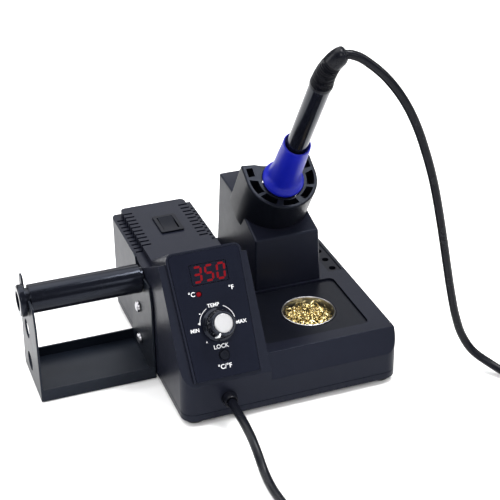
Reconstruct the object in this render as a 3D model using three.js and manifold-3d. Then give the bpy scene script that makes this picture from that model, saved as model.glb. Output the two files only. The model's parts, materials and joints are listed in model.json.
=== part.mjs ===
// Soldering iron station: control unit with slanted front, sloping iron holder with a lift-out
// handpiece, brass wool cleaner sunk in the deck, and a bolt-on solder reel bracket.
// Millimetres, +X right, +Y to the rear, +Z up, floor at z = 0.
import * as THREE from 'three';
import { ConvexGeometry } from 'three/addons/geometries/ConvexGeometry.js';
import { mergeVertices } from 'three/addons/utils/BufferGeometryUtils.js';
import Module from 'manifold-3d';

const wasm = await Module();
wasm.setup();

// ---------------------------------------------------------------- driving dimensions
const GAP = 0.3;                 // clearance left between touching pieces
const WALL = 2.2;                // moulded wall thickness
const UNIT = { width: 155, depth: 171, underside: 4, parting: 9.2, corner: 9 };
const BOX = { width: 61.2, shoulder: 75.5, plateau: 80, step: 6.2, crestY: 46.9, crest: 98.8, bendY: 87 };
const DECK = { height: 39.7, lip: 24.7, lean: 9.6 };
const PANEL = { x: 31.2, z: 35, tilt: 35, length: 85.6, bottomHalf: 22, topHalf: 24.5, frame: 1.7 };
const KNOB = { up: 34.5, skirt: 11.2, body: 9.3, height: 14.2, cap: 6.3, lock: 30 };
const TRAY = { x0: 64.5, x1: 141.3, y0: 19.8, y1: 84, x: 108.2, y: 49.6, hole: 19.3 };
const STRIP = { x0: 142, x1: 152.6, y0: 92, y1: 160, pitch: 13.2, first: 97.4, hole: 2.6 };
const TOWER = { x0: 81.8, x1: 133, y0: 85.4, y1: 168.5, ridge: 79.2, breakY: 139, brow: 95, top: 96.5 };
const REST = { x: 107.6, y: 97, z: 120.2, tilt: 33, radius: 26, shift: 3, side: 17, rim: -2 };
const ROCKER = { x: 33.1, y: 132.9, wide: 17, long: 25 };
const BRACKET = { x0: -81.4, x1: -0.4, sheet: 1.5, y0: 62.3, y1: 116, base: 0.6, lip: 9, holeY: 93.2 };
const REEL = { y: 87.4, z: 68, tube: 10.1, neck: 8, disc: 11.2, bore: 6.6, left: -86.6 };
const CORD = { radius: 3, sides: 10, step: 13, coilX: 95, coilY: -182, coil: 33, turns: 2.25, inBoot: 6.1, hang: 289 };
const TAU = Math.PI * 2;
const rad = THREE.MathUtils.degToRad;

// ---------------------------------------------------------------- solids
function solid(geometry) {
  const plain = geometry.clone();
  plain.deleteAttribute('normal');
  plain.deleteAttribute('uv');
  const merged = mergeVertices(plain, 1e-4);
  const vertProperties = Float32Array.from(merged.attributes.position.array);
  const triVerts = Uint32Array.from(merged.index.array);
  return new wasm.Manifold(new wasm.Mesh({ numProp: 3, vertProperties, triVerts }));
}

function geometryOf(body) {
  const mesh = body.getMesh();
  const geometry = new THREE.BufferGeometry();
  geometry.setAttribute('position', new THREE.BufferAttribute(mesh.vertProperties, 3));
  geometry.setIndex(new THREE.BufferAttribute(mesh.triVerts, 1));
  geometry.computeVertexNormals();
  return geometry;
}

const union = (first, ...others) => others.reduce((sum, body) => sum.add(body), first);
const cut = (body, ...tools) => tools.reduce((rest, tool) => rest.subtract(tool), body);

function block(x0, x1, y0, y1, z0, z1, place) {
  const geometry = new THREE.BoxGeometry(x1 - x0, y1 - y0, z1 - z0);
  geometry.translate((x0 + x1) / 2, (y0 + y1) / 2, (z0 + z1) / 2);
  if (place) geometry.applyMatrix4(place);
  return solid(geometry);
}

function hull(points, place) {
  const geometry = new ConvexGeometry(points.map((p) => new THREE.Vector3(...p)));
  if (place) geometry.applyMatrix4(place);
  return solid(geometry);
}

// Turned piece: [radius, height] pairs along local +Z, first and last on the axis.
function turned(profile, sides = 40, place) {
  const geometry = new THREE.LatheGeometry(profile.map(([r, z]) => new THREE.Vector2(r, z)), sides);
  geometry.rotateX(Math.PI / 2);
  if (place) geometry.applyMatrix4(place);
  return solid(geometry);
}

const rod = (radius, z0, z1, sides = 40, place) =>
  turned([[0, z0], [radius, z0], [radius, z1], [0, z1]], sides, place);

function extruded(shape, z0, z1, place, curveSegments = 10) {
  const geometry = new THREE.ExtrudeGeometry(shape, { depth: z1 - z0, bevelEnabled: false, curveSegments });
  geometry.translate(0, 0, z0);
  if (place) geometry.applyMatrix4(place);
  return solid(geometry);
}

const outline = (points) => new THREE.Shape(points.map(([x, y]) => new THREE.Vector2(x, y)));

function roundedRect(x0, x1, y0, y1, r) {
  const shape = new THREE.Shape();
  shape.moveTo(x0 + r, y0);
  shape.lineTo(x1 - r, y0);
  shape.absarc(x1 - r, y0 + r, r, -Math.PI / 2, 0);
  shape.lineTo(x1, y1 - r);
  shape.absarc(x1 - r, y1 - r, r, 0, Math.PI / 2);
  shape.lineTo(x0 + r, y1);
  shape.absarc(x0 + r, y1 - r, r, Math.PI / 2, Math.PI);
  shape.lineTo(x0, y0 + r);
  shape.absarc(x0 + r, y0 + r, r, Math.PI, Math.PI * 1.5);
  return shape;
}

// Profile drawn in the (y, z) plane and pulled along X.
const alongX = new THREE.Matrix4().makeBasis(
  new THREE.Vector3(0, 1, 0), new THREE.Vector3(0, 0, 1), new THREE.Vector3(1, 0, 0));
const prismX = (points, x0, x1) => extruded(outline(points), x0, x1, alongX);

// Moves every side of a convex counter-clockwise outline inwards by t.
function inset(points, t) {
  const sides = points.map((p, i) => {
    const q = points[(i + 1) % points.length];
    const along = new THREE.Vector2(q[0] - p[0], q[1] - p[1]).normalize();
    const inward = new THREE.Vector2(-along.y, along.x);
    return { along, level: inward.x * p[0] + inward.y * p[1] + t, inward };
  });
  return sides.map((b, i) => {
    const a = sides[(i + sides.length - 1) % sides.length];
    const det = a.inward.x * b.inward.y - a.inward.y * b.inward.x;
    return [(a.level * b.inward.y - b.level * a.inward.y) / det,
      (a.inward.x * b.level - b.inward.x * a.level) / det];
  });
}

const moved = (x, y, z) => new THREE.Matrix4().makeTranslation(x, y, z);
const facing = (axis, angle, x, y, z) =>
  moved(x, y, z).multiply(new THREE.Matrix4().makeRotationAxis(axis, angle));
const X_AXIS = new THREE.Vector3(1, 0, 0);
const Y_AXIS = new THREE.Vector3(0, 1, 0);

// Local frames: the slanted control panel (z out of the panel) and the iron rest (z up the iron).
const panelPlace = facing(X_AXIS, rad(90 - PANEL.tilt), PANEL.x, 0, PANEL.z);
const restPlace = facing(X_AXIS, rad(REST.tilt), REST.x, REST.y, REST.z);
const towardLeft = (x, y, z) => facing(Y_AXIS, -Math.PI / 2, x, y, z);
const towardFront = (x, y, z) => facing(X_AXIS, Math.PI / 2, x, y, z);

// ---------------------------------------------------------------- assembly and materials
const station = new THREE.Group();
const panelGroup = new THREE.Group();
const restGroup = new THREE.Group();
panelGroup.applyMatrix4(panelPlace);
restGroup.applyMatrix4(restPlace);

const finish = (color, roughness, metalness = 0) =>
  new THREE.MeshStandardMaterial({ color, roughness, metalness });
const caseBlack = finish(0x2e3038, 0.5);
const deepBlack = finish(0x16171a, 0.45);
const panelBlue = finish(0x33364a, 0.45);
const glossBlack = finish(0x0b0c10, 0.2);
const paintedSteel = finish(0x24262c, 0.4, 0.3);
const brightSteel = finish(0xc4c8cc, 0.3, 1);
const castAluminium = finish(0xe4e6e8, 0.3, 1);
const silicone = finish(0x1f2bc0, 0.6);
const rubber = finish(0x14151a, 0.8);
const brass = finish(0xd8b45a, 0.35, 1);
const boardGreen = finish(0x1d5b38, 0.6);
const copper = finish(0xb06a34, 0.4, 0.8);
const laminations = finish(0x55585e, 0.6, 0.6);
const smokedRed = finish(0x3a0d14, 0.15);
const lampRed = finish(0xc81e28, 0.3);
const cream = finish(0xd9d6cc, 0.5);

function add(group, name, body, material) {
  const mesh = new THREE.Mesh(geometryOf(body), material);
  mesh.name = name;
  group.add(mesh);
}

// ---------------------------------------------------------------- case
const boxFlank = [[0, 0], [BOX.bendY, 0], [BOX.bendY, BOX.shoulder], [BOX.crestY, BOX.crest], [0, 31.7]];
const boxFlankRear = [[BOX.bendY - 8, 0], [UNIT.depth, 0], [UNIT.depth - 2.6, BOX.shoulder],
  [BOX.bendY - 8, BOX.shoulder]];
const slope = Math.tan(rad(PANEL.tilt));
const panelTopY = PANEL.length * Math.sin(rad(PANEL.tilt));
const panelTopZ = PANEL.z + PANEL.length * Math.cos(rad(PANEL.tilt));
const deckFlank = [[0, 0], [UNIT.depth, 0], [UNIT.depth - 1, DECK.height], [DECK.lean, DECK.height],
  [0, DECK.lip]];
const housingBase = UNIT.parting + GAP;

// Raised middle of the control box: straight over the plateau, flared like the panel at the front.
function raisedMiddle(t) {
  const frame = PANEL.frame - t;
  const [low, high] = [PANEL.bottomHalf + frame, PANEL.topHalf + frame];
  const back = BOX.width / 2 - BOX.step - t;
  const deep = t * (1 / Math.cos(rad(PANEL.tilt)));
  const corners = [];
  for (const side of [-1, 1]) {
    corners.push([PANEL.x + side * low, deep, PANEL.z + t], [PANEL.x + side * low, 40, PANEL.z + t]);
    corners.push([PANEL.x + side * high, panelTopY - t * 0.2, panelTopZ - t * 1.4]);
    corners.push([PANEL.x + side * back, BOX.bendY + 1.5, BOX.plateau - t]);
    corners.push([PANEL.x + side * back, BOX.bendY + 1.5, 45]);
  }
  const nose = hull(corners);
  const plateau = block(PANEL.x - back, PANEL.x + back, BOX.bendY - 6, UNIT.depth - 3.4 - t,
    50, BOX.plateau - t);
  return nose.add(plateau);
}

function caseSolid(t) {
  const floor = t > 0 ? -20 : 0;
  const lowered = (points) => inset(points, t).map(([y, z]) => [y, z < 5 + t ? floor : z]);
  const left = prismX(lowered(boxFlank), t, BOX.width - t);
  const leftRear = prismX(lowered(boxFlankRear), t, BOX.width - t);
  const deck = prismX(lowered(deckFlank), 30, UNIT.width - t);
  const plan = roundedRect(t, UNIT.width - t, t, UNIT.depth - t, UNIT.corner - t);
  const shell = union(left, leftRear, deck, raisedMiddle(t));
  return shell.intersect(extruded(plan, t > 0 ? -10 : housingBase, 120));
}

// Ten slots on each flank of the plateau, each running on over the shoulder below it.
function ventSlots() {
  const slots = [];
  const pitch = 5.35;
  for (let i = 0; i < 10; i += 1) {
    const y = 108.6 + i * pitch;
    slots.push(block(PANEL.x - 29.2, PANEL.x - 17.6, y, y + 1.9, 60, 90));
    slots.push(block(PANEL.x + 17.6, PANEL.x + 29.2, y, y + 1.9, 60, 90));
  }
  return slots;
}

function upperHousing() {
  const shell = caseSolid(0).subtract(caseSolid(WALL));
  const posts = [];
  const screwWays = [];
  for (const [x, y] of screwPlaces) {
    const front = y < UNIT.depth / 2;
    posts.push(block(x - 4.5, x + 4.5, front ? 1 : y - 4.5, front ? y + 4.5 : UNIT.depth - 1, housingBase, 24));
    screwWays.push(rod(1.9, 0, 22, 16, moved(x, y, 0)));
  }
  const labelRecess = hull(trapezoid(GAP, -1.0 - GAP, 6), panelPlace);
  const panelWays = [
    block(-14, 16.5, 60.5, 77.5, -8, 2, panelPlace),
    rod(4.6, -8, 2, 32, moved(0, KNOB.up, 0).premultiply(panelPlace)),
    rod(4.6, -8, 2, 32, moved(0, 14.2, 0).premultiply(panelPlace)),
    rod(2.1, -8, 2, 24, moved(-8.5, 56.3, 0).premultiply(panelPlace)),
  ];
  const deckWays = [
    block(TRAY.x0, TRAY.x1, TRAY.y0, TRAY.y1, DECK.height - 5, DECK.height + 5),
    block(STRIP.x0, STRIP.x1, STRIP.y0, STRIP.y1, DECK.height - 5, DECK.height + 5),
  ];
  const otherWays = [
    block(ROCKER.x - 7.2, ROCKER.x + 7.2, ROCKER.y - 10.4, ROCKER.y + 10.4, 70, 90),
    block(PANEL.x - 14.2, PANEL.x + 14.2, UNIT.depth - 8, UNIT.depth + 5, 27.8, 48.2),
    rod(4.9, -5, 5, 32, towardFront(31, 0, 18.4)),
    rod(2.3, -5, 5, 24, towardLeft(0, BRACKET.holeY, 15)),
    rod(2.3, -5, 5, 24, towardLeft(0, BRACKET.holeY, 41.5)),
  ];
  return cut(union(shell, ...posts), ...screwWays, labelRecess, ...panelWays, ...deckWays,
    ...otherWays, ...ventSlots());
}

// Corners of the tapered label plate, grown by t, between two levels of the panel frame.
function trapezoid(t, z0, z1) {
  const corners = [];
  for (const z of [z0, z1]) {
    corners.push([-PANEL.bottomHalf - t, -t, z], [PANEL.bottomHalf + t, -t, z]);
    corners.push([-PANEL.topHalf - t, PANEL.length - 1.5 + t, z], [PANEL.topHalf + t, PANEL.length - 1.5 + t, z]);
  }
  return corners;
}

const screwPlaces = [[46, 10], [UNIT.width - 24, 14], [22, UNIT.depth - 12], [UNIT.width - 24, UNIT.depth - 12]];
const footPlaces = [[10, 9.6], [UNIT.width - 10, 9.6], [10, UNIT.depth - 10], [UNIT.width - 10, UNIT.depth - 10]];
const cornerNames = ['front_left', 'front_right', 'rear_left', 'rear_right'];

function basePlate() {
  const outer = extruded(roundedRect(0, UNIT.width, 0, UNIT.depth, UNIT.corner), UNIT.underside, UNIT.parting);
  const hollow = extruded(roundedRect(WALL, UNIT.width - WALL, WALL, UNIT.depth - WALL, 7),
    UNIT.underside + WALL, 20);
  const ways = screwPlaces.map(([x, y]) => rod(1.9, 0, 12, 16, moved(x, y, 0)));
  const sinks = screwPlaces.map(([x, y]) => rod(3.6, 0, UNIT.underside + 1, 20, moved(x, y, 0)));
  const studs = footPlaces.map(([x, y]) => rod(2.4, 0, 12, 16, moved(x, y, 0)));
  return cut(outer, hollow, ...ways, ...sinks, ...studs);
}

add(station, 'base_plate', basePlate(), caseBlack);
add(station, 'upper_housing', upperHousing(), caseBlack);

footPlaces.forEach(([x, y], i) => {
  const foot = turned([[0, 0], [5.6, 0], [7.1, 1.1], [7.4, UNIT.underside - GAP], [2, UNIT.underside - GAP],
    [2, 7.4], [0, 7.4]], 28, moved(x, y, 0));
  add(station, `foot_${cornerNames[i]}`, foot, rubber);
});
screwPlaces.forEach(([x, y], i) => {
  const screw = turned([[0, 2.9], [3.1, 2.9], [3.1, UNIT.underside + 0.7], [1.5, UNIT.underside + 0.7],
    [1.5, 18], [0, 20]], 18, moved(x, y, 0));
  add(station, `case_screw_${cornerNames[i]}`, screw, brightSteel);
});

// ---------------------------------------------------------------- control panel
const knobPlace = moved(0, KNOB.up, 0);
const buttonPlace = moved(0, 14.2, 0);

function frontPanel() {
  const plate = hull(trapezoid(0, -1.0, 0.3));
  return cut(plate,
    block(-11.8, 13.8, 62, 75.8, -5, 5),
    rod(4.6, -5, 5, 32, knobPlace),
    rod(3.7, -5, 5, 32, buttonPlace),
    rod(1.9, -5, 5, 24, moved(-8.5, 56.3, 0)));
}

// Circle of ribs round the knob, and a raised pointer bar towards the lock position.
function controlKnob() {
  const body = turned([[0, 1.2], [KNOB.skirt, 1.2], [KNOB.skirt, 3.2], [KNOB.body, 4.6],
    [KNOB.body - 0.7, KNOB.height - 1.2], [KNOB.body - 1.6, KNOB.height - 0.4],
    [KNOB.cap + GAP, KNOB.height - 0.4], [KNOB.cap + GAP, KNOB.height - 1.8], [0, KNOB.height - 1.8]], 48);
  const flutes = [];
  for (let i = 0; i < 18; i += 1) {
    const angle = (i + 0.5) * TAU / 18;
    flutes.push(rod(1, 5, 20, 8, moved(Math.cos(angle) * KNOB.body, Math.sin(angle) * KNOB.body, 0)));
  }
  const nutWell = rod(7.4, 0, 4.2, 24);
  const shaftBore = rod(3.3, 0, 10, 24);
  const pointer = block(-0.6, 0.6, -KNOB.body - 0.6, -KNOB.cap - 0.8, 4.8, KNOB.height - 0.1);
  return cut(union(body, pointer), nutWell, shaftBore, ...flutes.filter((_, i) => i !== 13));
}

add(panelGroup, 'front_panel', frontPanel(), panelBlue);
add(panelGroup, 'display_window', block(-11.5, 13.5, 62.3, 75.5, -1, 0.1), smokedRed);
add(panelGroup, 'display_module', block(-11.2, 13.2, 62.6, 75.2, -12, -1.4), cream);
add(panelGroup, 'unit_led', turned([[0, -12], [1.5, -12], [1.5, -0.4], [1, 0.1], [0, 0.3]], 20,
  moved(-8.5, 56.3, 0)), lampRed);
add(panelGroup, 'control_board', block(-20, 20, 6, 78, -13.9, -12.3), boardGreen);

add(panelGroup, 'control_knob', controlKnob().rotate([0, 0, -KNOB.lock]).translate([0, KNOB.up, 0]), glossBlack);
add(panelGroup, 'knob_cap', turned([[0, KNOB.height - 1.5], [KNOB.cap, KNOB.height - 1.5],
  [KNOB.cap, KNOB.height - 0.3], [KNOB.cap - 0.6, KNOB.height + 0.2], [0, KNOB.height + 0.2]], 48,
knobPlace), castAluminium);
add(panelGroup, 'knob_shaft', turned([[0, -8], [2.4, -8], [2.4, -3.3], [3, -3.3], [3, 9.7], [0, 9.7]], 24,
  knobPlace), brightSteel);
const potBody = turned([[0, -12], [8, -12], [8, -3.6], [4.3, -3.6], [4.3, 3.8], [0, 3.8]], 32, knobPlace);
const potBore = turned([[0, -8.4], [2.8, -8.4], [2.8, -3.6], [3.3, -3.6], [3.3, 6], [0, 6]], 24, knobPlace);
add(panelGroup, 'potentiometer', cut(potBody, potBore), laminations);
add(panelGroup, 'pot_nut', cut(rod(6.4, 0.6, 2.6, 6, knobPlace), rod(4.6, 0, 5, 24, knobPlace)), brightSteel);

add(panelGroup, 'unit_button', turned([[0, -6.2], [4.2, -6.2], [4.2, -4.6], [3.4, -4.6], [3.4, 0.9],
  [2.9, 1.3], [0, 1.3]], 28, buttonPlace), deepBlack);
const tactCan = block(-3, 3, 11.2, 17.2, -12, -8.4);
add(panelGroup, 'tact_switch', union(tactCan, rod(1.7, -9, -7.4, 20, buttonPlace)), deepBlack);

// ---------------------------------------------------------------- power switch on the plateau
const rockerTop = BOX.plateau;
function rockerBezel() {
  const { x, y, wide, long } = ROCKER;
  const frame = extruded(roundedRect(x - wide / 2, x + wide / 2, y - long / 2, y + long / 2, 1.2),
    rockerTop + GAP, rockerTop + 1.3);
  const sleeve = block(x - 6.9, x + 6.9, y - 10.1, y + 10.1, rockerTop - 14, rockerTop + 1);
  const well = block(x - 5.9, x + 5.9, y - 9.1, y + 9.1, rockerTop - 12, rockerTop + 5);
  return cut(union(frame, sleeve), well);
}
// Rests with its rear half up; its two top faces meet above the pivot.
function powerRocker() {
  const { x, y } = ROCKER;
  const pivot = rockerTop - 1;
  const side = [[-5.5, -6], [5.5, -6], [8.2, 0.5], [8, 3.6], [0, 1.4], [-8.2, 1.4], [-8.4, -1]];
  return prismX(side.map(([dy, dz]) => [y + dy, pivot + dz]), x - 5.5, x + 5.5);
}
add(station, 'switch_bezel', rockerBezel(), deepBlack);
add(station, 'power_rocker', powerRocker(), deepBlack);

// ---------------------------------------------------------------- deck: cleaner and tip strip
const trayTop = DECK.height - 1.4;
const trayBlock = (z0, z1, t) =>
  extruded(roundedRect(TRAY.x0 + t, TRAY.x1 - t, TRAY.y0 + t, TRAY.y1 - t, 2.5), z0, z1);
function cleanerTray() {
  const plate = trayBlock(trayTop - 2, trayTop, GAP);
  return cut(plate, rod(TRAY.hole, 0, 60, 56, moved(TRAY.x, TRAY.y, 0)));
}
function cleanerCup() {
  const floor = 12.6;
  const r = TRAY.hole - GAP;
  const cup = turned([[0, floor], [r - 3, floor], [r - 1, floor + 2], [r, trayTop + 0.6], [r - 0.8, trayTop + 0.6],
    [r - 1.8, floor + 2.6], [r - 3.4, floor + 0.9], [0, floor + 0.9]], 56, moved(TRAY.x, TRAY.y, 0));
  return cup;
}
function brassWool() {
  const floor = 13.9;
  return turned([[0, floor], [14, floor], [16.4, floor + 3], [17.2, trayTop - 4], [15, trayTop - 1],
    [9, trayTop + 0.4], [0, trayTop + 1]], 40, moved(TRAY.x, TRAY.y, 0));
}
add(station, 'cleaner_tray', cleanerTray(), deepBlack);
add(station, 'cleaner_cup', cleanerCup(), brightSteel);
add(station, 'brass_wool', brassWool(), brass);

function tipStrip() {
  const plate = block(STRIP.x0 + GAP, STRIP.x1 - GAP, STRIP.y0 + GAP, STRIP.y1 - GAP,
    DECK.height - 8, DECK.height - 0.8);
  const holes = [];
  for (let i = 0; i < 5; i += 1) {
    holes.push(rod(STRIP.hole, DECK.height - 7, DECK.height + 2, 20,
      moved((STRIP.x0 + STRIP.x1) / 2, STRIP.first + i * STRIP.pitch, 0)));
  }
  return cut(plate, ...holes);
}
add(station, 'tip_strip', tipStrip(), deepBlack);

// ---------------------------------------------------------------- iron holder
function towerHull(t) {
  const foot = DECK.height + GAP - (t > 0 ? 10 : 0);
  const corners = [];
  for (const side of [0, 1]) {
    const wide = (low) => (side ? TOWER.x1 - low - t : TOWER.x0 + low + t);
    corners.push([wide(0), TOWER.y0 + t, foot], [wide(0), TOWER.y1 - t, foot]);
    corners.push([wide(1.5), TOWER.y0 + 2.5 + t, TOWER.ridge - t]);
    corners.push([wide(2.1), TOWER.breakY, TOWER.brow - t]);
    corners.push([wide(2.1), TOWER.y1 - 2.4 - t, TOWER.top - t]);
  }
  return hull(corners);
}
function holderTower() {
  const mouth = rod(15.2, -60, 20, 40, restPlace);
  return cut(towerHull(0), towerHull(WALL), mouth);
}

// Horseshoe outline of the rest: half circle at the front, straight cheeks, notched rear edge.
function horseshoe(t) {
  const shape = new THREE.Shape();
  const r = REST.radius - t;
  const back = REST.side - t;
  shape.moveTo(-r, back);
  shape.lineTo(-r, REST.shift);
  shape.absarc(0, REST.shift, r, Math.PI, TAU);
  shape.lineTo(r, back);
  shape.lineTo(r * 0.62, back - 1);
  shape.quadraticCurveTo(0, back - 8, -r * 0.62, back - 1);
  return shape;
}
function restCollar() {
  const skirt = extruded(horseshoe(0), -48, REST.rim, undefined, 14);
  const hollow = extruded(horseshoe(2.2), -60, REST.rim - 16, undefined, 14);
  const seat = turned([[0, -90], [13.3, -90], [13.3, REST.rim - 8], [15.2, REST.rim - 5], [15.2, 10], [0, 10]], 40);
  const windows = [];
  for (const angle of [192, 228, 270, 312, 348]) {
    const centre = rad(angle);
    const span = rad(15);
    const window = new THREE.Shape();
    window.absarc(0, REST.shift, 23.6, centre - span, centre + span);
    window.absarc(0, REST.shift * 0.4, 17.6, centre + span, centre - span, true);
    windows.push(extruded(window, REST.rim - 13, 10, undefined, 6));
  }
  windows.push(block(-23.4, -18.6, 6.4, 13.4, REST.rim - 13, 10), block(18.6, 23.4, 6.4, 13.4, REST.rim - 13, 10));
  return cut(skirt, hollow, seat, ...windows);
}
// The skirt stops at the sloping roof, so the tower's own outline trims it.
function trimmedCollar() {
  const toBody = (body) => body.transform(restPlace.toArray());
  const raised = towerHull(0).translate([0, 0, GAP]);
  const below = block(0, 200, 60, 240, -100, DECK.height + 20);
  return cut(toBody(restCollar()), raised, below, block(60, 160, 146, 240, 0, 300));
}
add(station, 'holder_tower', holderTower(), caseBlack);
add(station, 'rest_collar', trimmedCollar(), deepBlack);
add(restGroup, 'rest_liner', turned([[11.6, -66], [12.4, -66], [12.9, -13], [12.1, -13], [11.6, -66]], 36),
  brightSteel);

// ---------------------------------------------------------------- handpiece
const tubeEnd = 112;
add(restGroup, 'grip_sleeve', turned([[7.6, -4.5], [10.5, -4.5], [14, -2.6], [14.8, -0.6], [14.4, 1.2],
  [12.4, 3.4], [11.2, 7], [10.6, 14], [9.6, 44.5], [8.6, 44.5], [7.6, 36], [7.6, -4.5]], 48), silicone);
add(restGroup, 'handle_tube', turned([[0, -4], [7.3, -4], [7.3, tubeEnd], [0, tubeEnd]], 40), glossBlack);
add(restGroup, 'barrel_nut', turned([[4.7, -15], [6.8, -15], [7.4, -12], [7.4, -4.3], [4.7, -4.3], [4.7, -15]], 24),
  brightSteel);
add(restGroup, 'heater_barrel', turned([[3.4, -60], [4.2, -60], [4.4, -4.3], [3.4, -4.3], [3.4, -60]], 24),
  brightSteel);
add(restGroup, 'soldering_tip', turned([[0, -82], [0.6, -80.5], [3.3, -70], [4.2, -66], [4.2, -60.3], [0, -60.3]], 24),
  brightSteel);
add(restGroup, 'heater_core', turned([[0, -58], [2.7, -58], [2.7, -4.3], [0, -4.3]], 16), cream);

// ---------------------------------------------------------------- solder reel bracket
function sidePlate(x0, x1) {
  const { y, z, neck } = REEL;
  const slot = neck + 0.4;
  const side = new THREE.Shape();
  side.moveTo(BRACKET.y0, BRACKET.base);
  side.lineTo(BRACKET.y1, BRACKET.base);
  side.lineTo(111, 45);
  side.lineTo(105.5, 78);
  side.lineTo(103, 80);
  side.lineTo(y + slot + 2.6, 79);
  side.lineTo(y + slot, z + 4);
  side.lineTo(y + slot, z);
  side.absarc(y, z, slot, 0, Math.PI, true);
  side.lineTo(y - slot, z + 4);
  side.lineTo(BRACKET.y0 + 4, z + 4);
  side.lineTo(BRACKET.y0, 58);
  return extruded(side, x0, x1, alongX, 14);
}
function reelBracket() {
  const { x0, x1, sheet, y0, y1, base, lip, holeY } = BRACKET;
  const access = [15, 41.5].map((z) => rod(7, -2, 4, 32, towardLeft(x0, holeY, z)));
  const fixing = [15, 41.5].map((z) => rod(2.3, -2, 4, 24, towardLeft(x1, holeY, z)));
  return cut(union(
    sidePlate(x0, x0 + sheet),
    sidePlate(x1 - sheet, x1),
    block(x0, x1, y0, y1, base, base + sheet),
    block(x0, x1, y0, y0 + sheet, base, base + lip),
    block(x0, x1, y1 - sheet, y1, base, base + lip)), ...access, ...fixing);
}
add(station, 'reel_bracket', reelBracket(), paintedSteel);
[['lower', 15], ['upper', 41.5]].forEach(([name, z]) => {
  const head = BRACKET.x1 - BRACKET.sheet - GAP;
  const screw = turned([[0, -9], [1.6, -9], [2, -7], [2, 0], [3.9, 0], [3.7, 1.5], [2.2, 2.3], [0, 2.4]], 24,
    towardLeft(head, BRACKET.holeY, z));
  add(station, `bracket_screw_${name}`, screw, brightSteel);
});

function reelSpindle() {
  const { left, disc, neck, tube, bore } = REEL;
  const start = BRACKET.x0 - 0.8;
  const inner = BRACKET.x0 + BRACKET.sheet + 0.8;
  const end = BRACKET.x1 - BRACKET.sheet - 0.8;
  const profile = [[0, left], [disc - 1, left], [disc, left + 1], [disc, start], [neck, start], [neck, inner],
    [tube, inner], [tube, end], [neck, end], [neck, BRACKET.x1], [0, BRACKET.x1]];
  const place = facing(Y_AXIS, Math.PI / 2, 0, REEL.y, REEL.z);
  return cut(turned(profile, 44, place), rod(bore, left - 5, 5, 32, place));
}
add(station, 'reel_spindle', reelSpindle(), glossBlack);

// ---------------------------------------------------------------- rear inlet and front gland
function mainsInlet() {
  const [x, z, back] = [PANEL.x, 38, UNIT.depth];
  const flange = block(x - 15.5, x + 15.5, back + GAP, back + 2.2, z - 11.5, z + 11.5);
  const shroud = block(x - 13.8, x + 13.8, back - 18, back + 2, z - 9.8, z + 9.8);
  const socket = block(x - 12.2, x + 12.2, back - 15, back + 5, z - 8.2, z + 8.2);
  const pins = [[-7, -2], [0, 2], [7, -2]].map(([px, pz]) =>
    block(x + px - 1, x + px + 1, back - 16, back - 4, z + pz - 2, z + pz + 2));
  return union(cut(union(flange, shroud), socket), ...pins);
}
add(station, 'mains_inlet', mainsInlet(), deepBlack);
add(station, 'cord_gland', cut(turned([[0, -6], [6.2, -6], [6.2, -2.6], [4.5, -2.6], [4.5, 0.3], [5.4, 0.3],
  [5.2, 2.4], [4.4, 6], [0, 6]], 28, towardFront(31, 0, 18.4)), rod(CORD.radius + GAP, -10, 10, 20,
  towardFront(31, 0, 18.4))), rubber);

// ---------------------------------------------------------------- inside the box
add(station, 'power_board', block(8, 54, 58, 150, 13, 14.6), boardGreen);
const core = { x0: 10, x1: 52, y0: 108, y1: 140, z0: 15, z1: 52 };
function transformerCore() {
  const { x0, x1, y0, y1, z0, z1 } = core;
  const slot = (a, b) => block(a, b, y0 - 5, y1 + 5, z0 + 6, z1 - 6);
  return cut(block(x0, x1, y0, y1, z0, z1), slot(x0 + 6, x0 + 14), slot(x1 - 14, x1 - 6));
}
function transformerCoil() {
  const { x0, x1, y0, y1, z0, z1 } = core;
  const wound = block(x0 + 6.4, x1 - 6.4, y0 - 7, y1 + 7, z0 + 6.4, z1 - 6.4);
  return cut(wound, block(x0 + 13.6, x1 - 13.6, y0 - 0.4, y1 + 0.4, 0, 100));
}
add(station, 'transformer_core', transformerCore(), laminations);
add(station, 'transformer_coil', transformerCoil(), copper);
function heatSink() {
  const plate = block(12, 14, 72, 96, 15, 40);
  const fins = [72, 77.5, 83, 88.5, 94].map((y) => block(12, 22, y, y + 2, 15, 40));
  return union(plate, ...fins);
}
add(station, 'heat_sink', heatSink(), castAluminium);
add(station, 'power_triac', block(7, 11.7, 79, 89, 20, 36), deepBlack);
add(station, 'smoothing_capacitor', turned([[0, 15], [6.2, 15], [6.2, 34], [0, 34.6]], 24, moved(40, 82, 0)),
  panelBlue);
add(station, 'fuse', turned([[0, -10], [2.6, -10], [2.6, 10], [0, 10]], 16, facing(X_AXIS, Math.PI / 2, 50.5, 69, 18)),
  brightSteel);

// ---------------------------------------------------------------- strain relief and cord
const curveThrough = (points) =>
  new THREE.CatmullRomCurve3(points.map((p) => new THREE.Vector3(...p)), false, 'centripetal');

// Turned profile of [radius, share of the curve's length] pairs, bent along the curve.
function bent(profile, curve, sides) {
  const geometry = new THREE.LatheGeometry(profile.map(([r, u]) => new THREE.Vector2(r, u)), sides);
  const spots = geometry.attributes.position;
  const up = new THREE.Vector3(0, 1, 0);
  const turn = new THREE.Quaternion();
  for (let i = 0; i < spots.count; i += 1) {
    const u = spots.getY(i);
    const offset = new THREE.Vector3(spots.getX(i), 0, spots.getZ(i));
    offset.applyQuaternion(turn.setFromUnitVectors(up, curve.getTangentAt(u)));
    offset.add(curve.getPointAt(u));
    spots.setXYZ(i, offset.x, offset.y, offset.z);
  }
  return solid(geometry);
}
const bootCurve = curveThrough([[107.6, 35.8, 214.4], [107.6, 30.5, 222.7], [108.4, 25.6, 229.6], [110.2, 21.6, 235],
  [112.8, 18.9, 238.5], [115.9, 17.4, 239.8]]);
const bootProfile = [[0, 0]];
for (let i = 0; i <= 12; i += 1) bootProfile.push([7.8 - 2.1 * i / 12, i / 12]);
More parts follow.
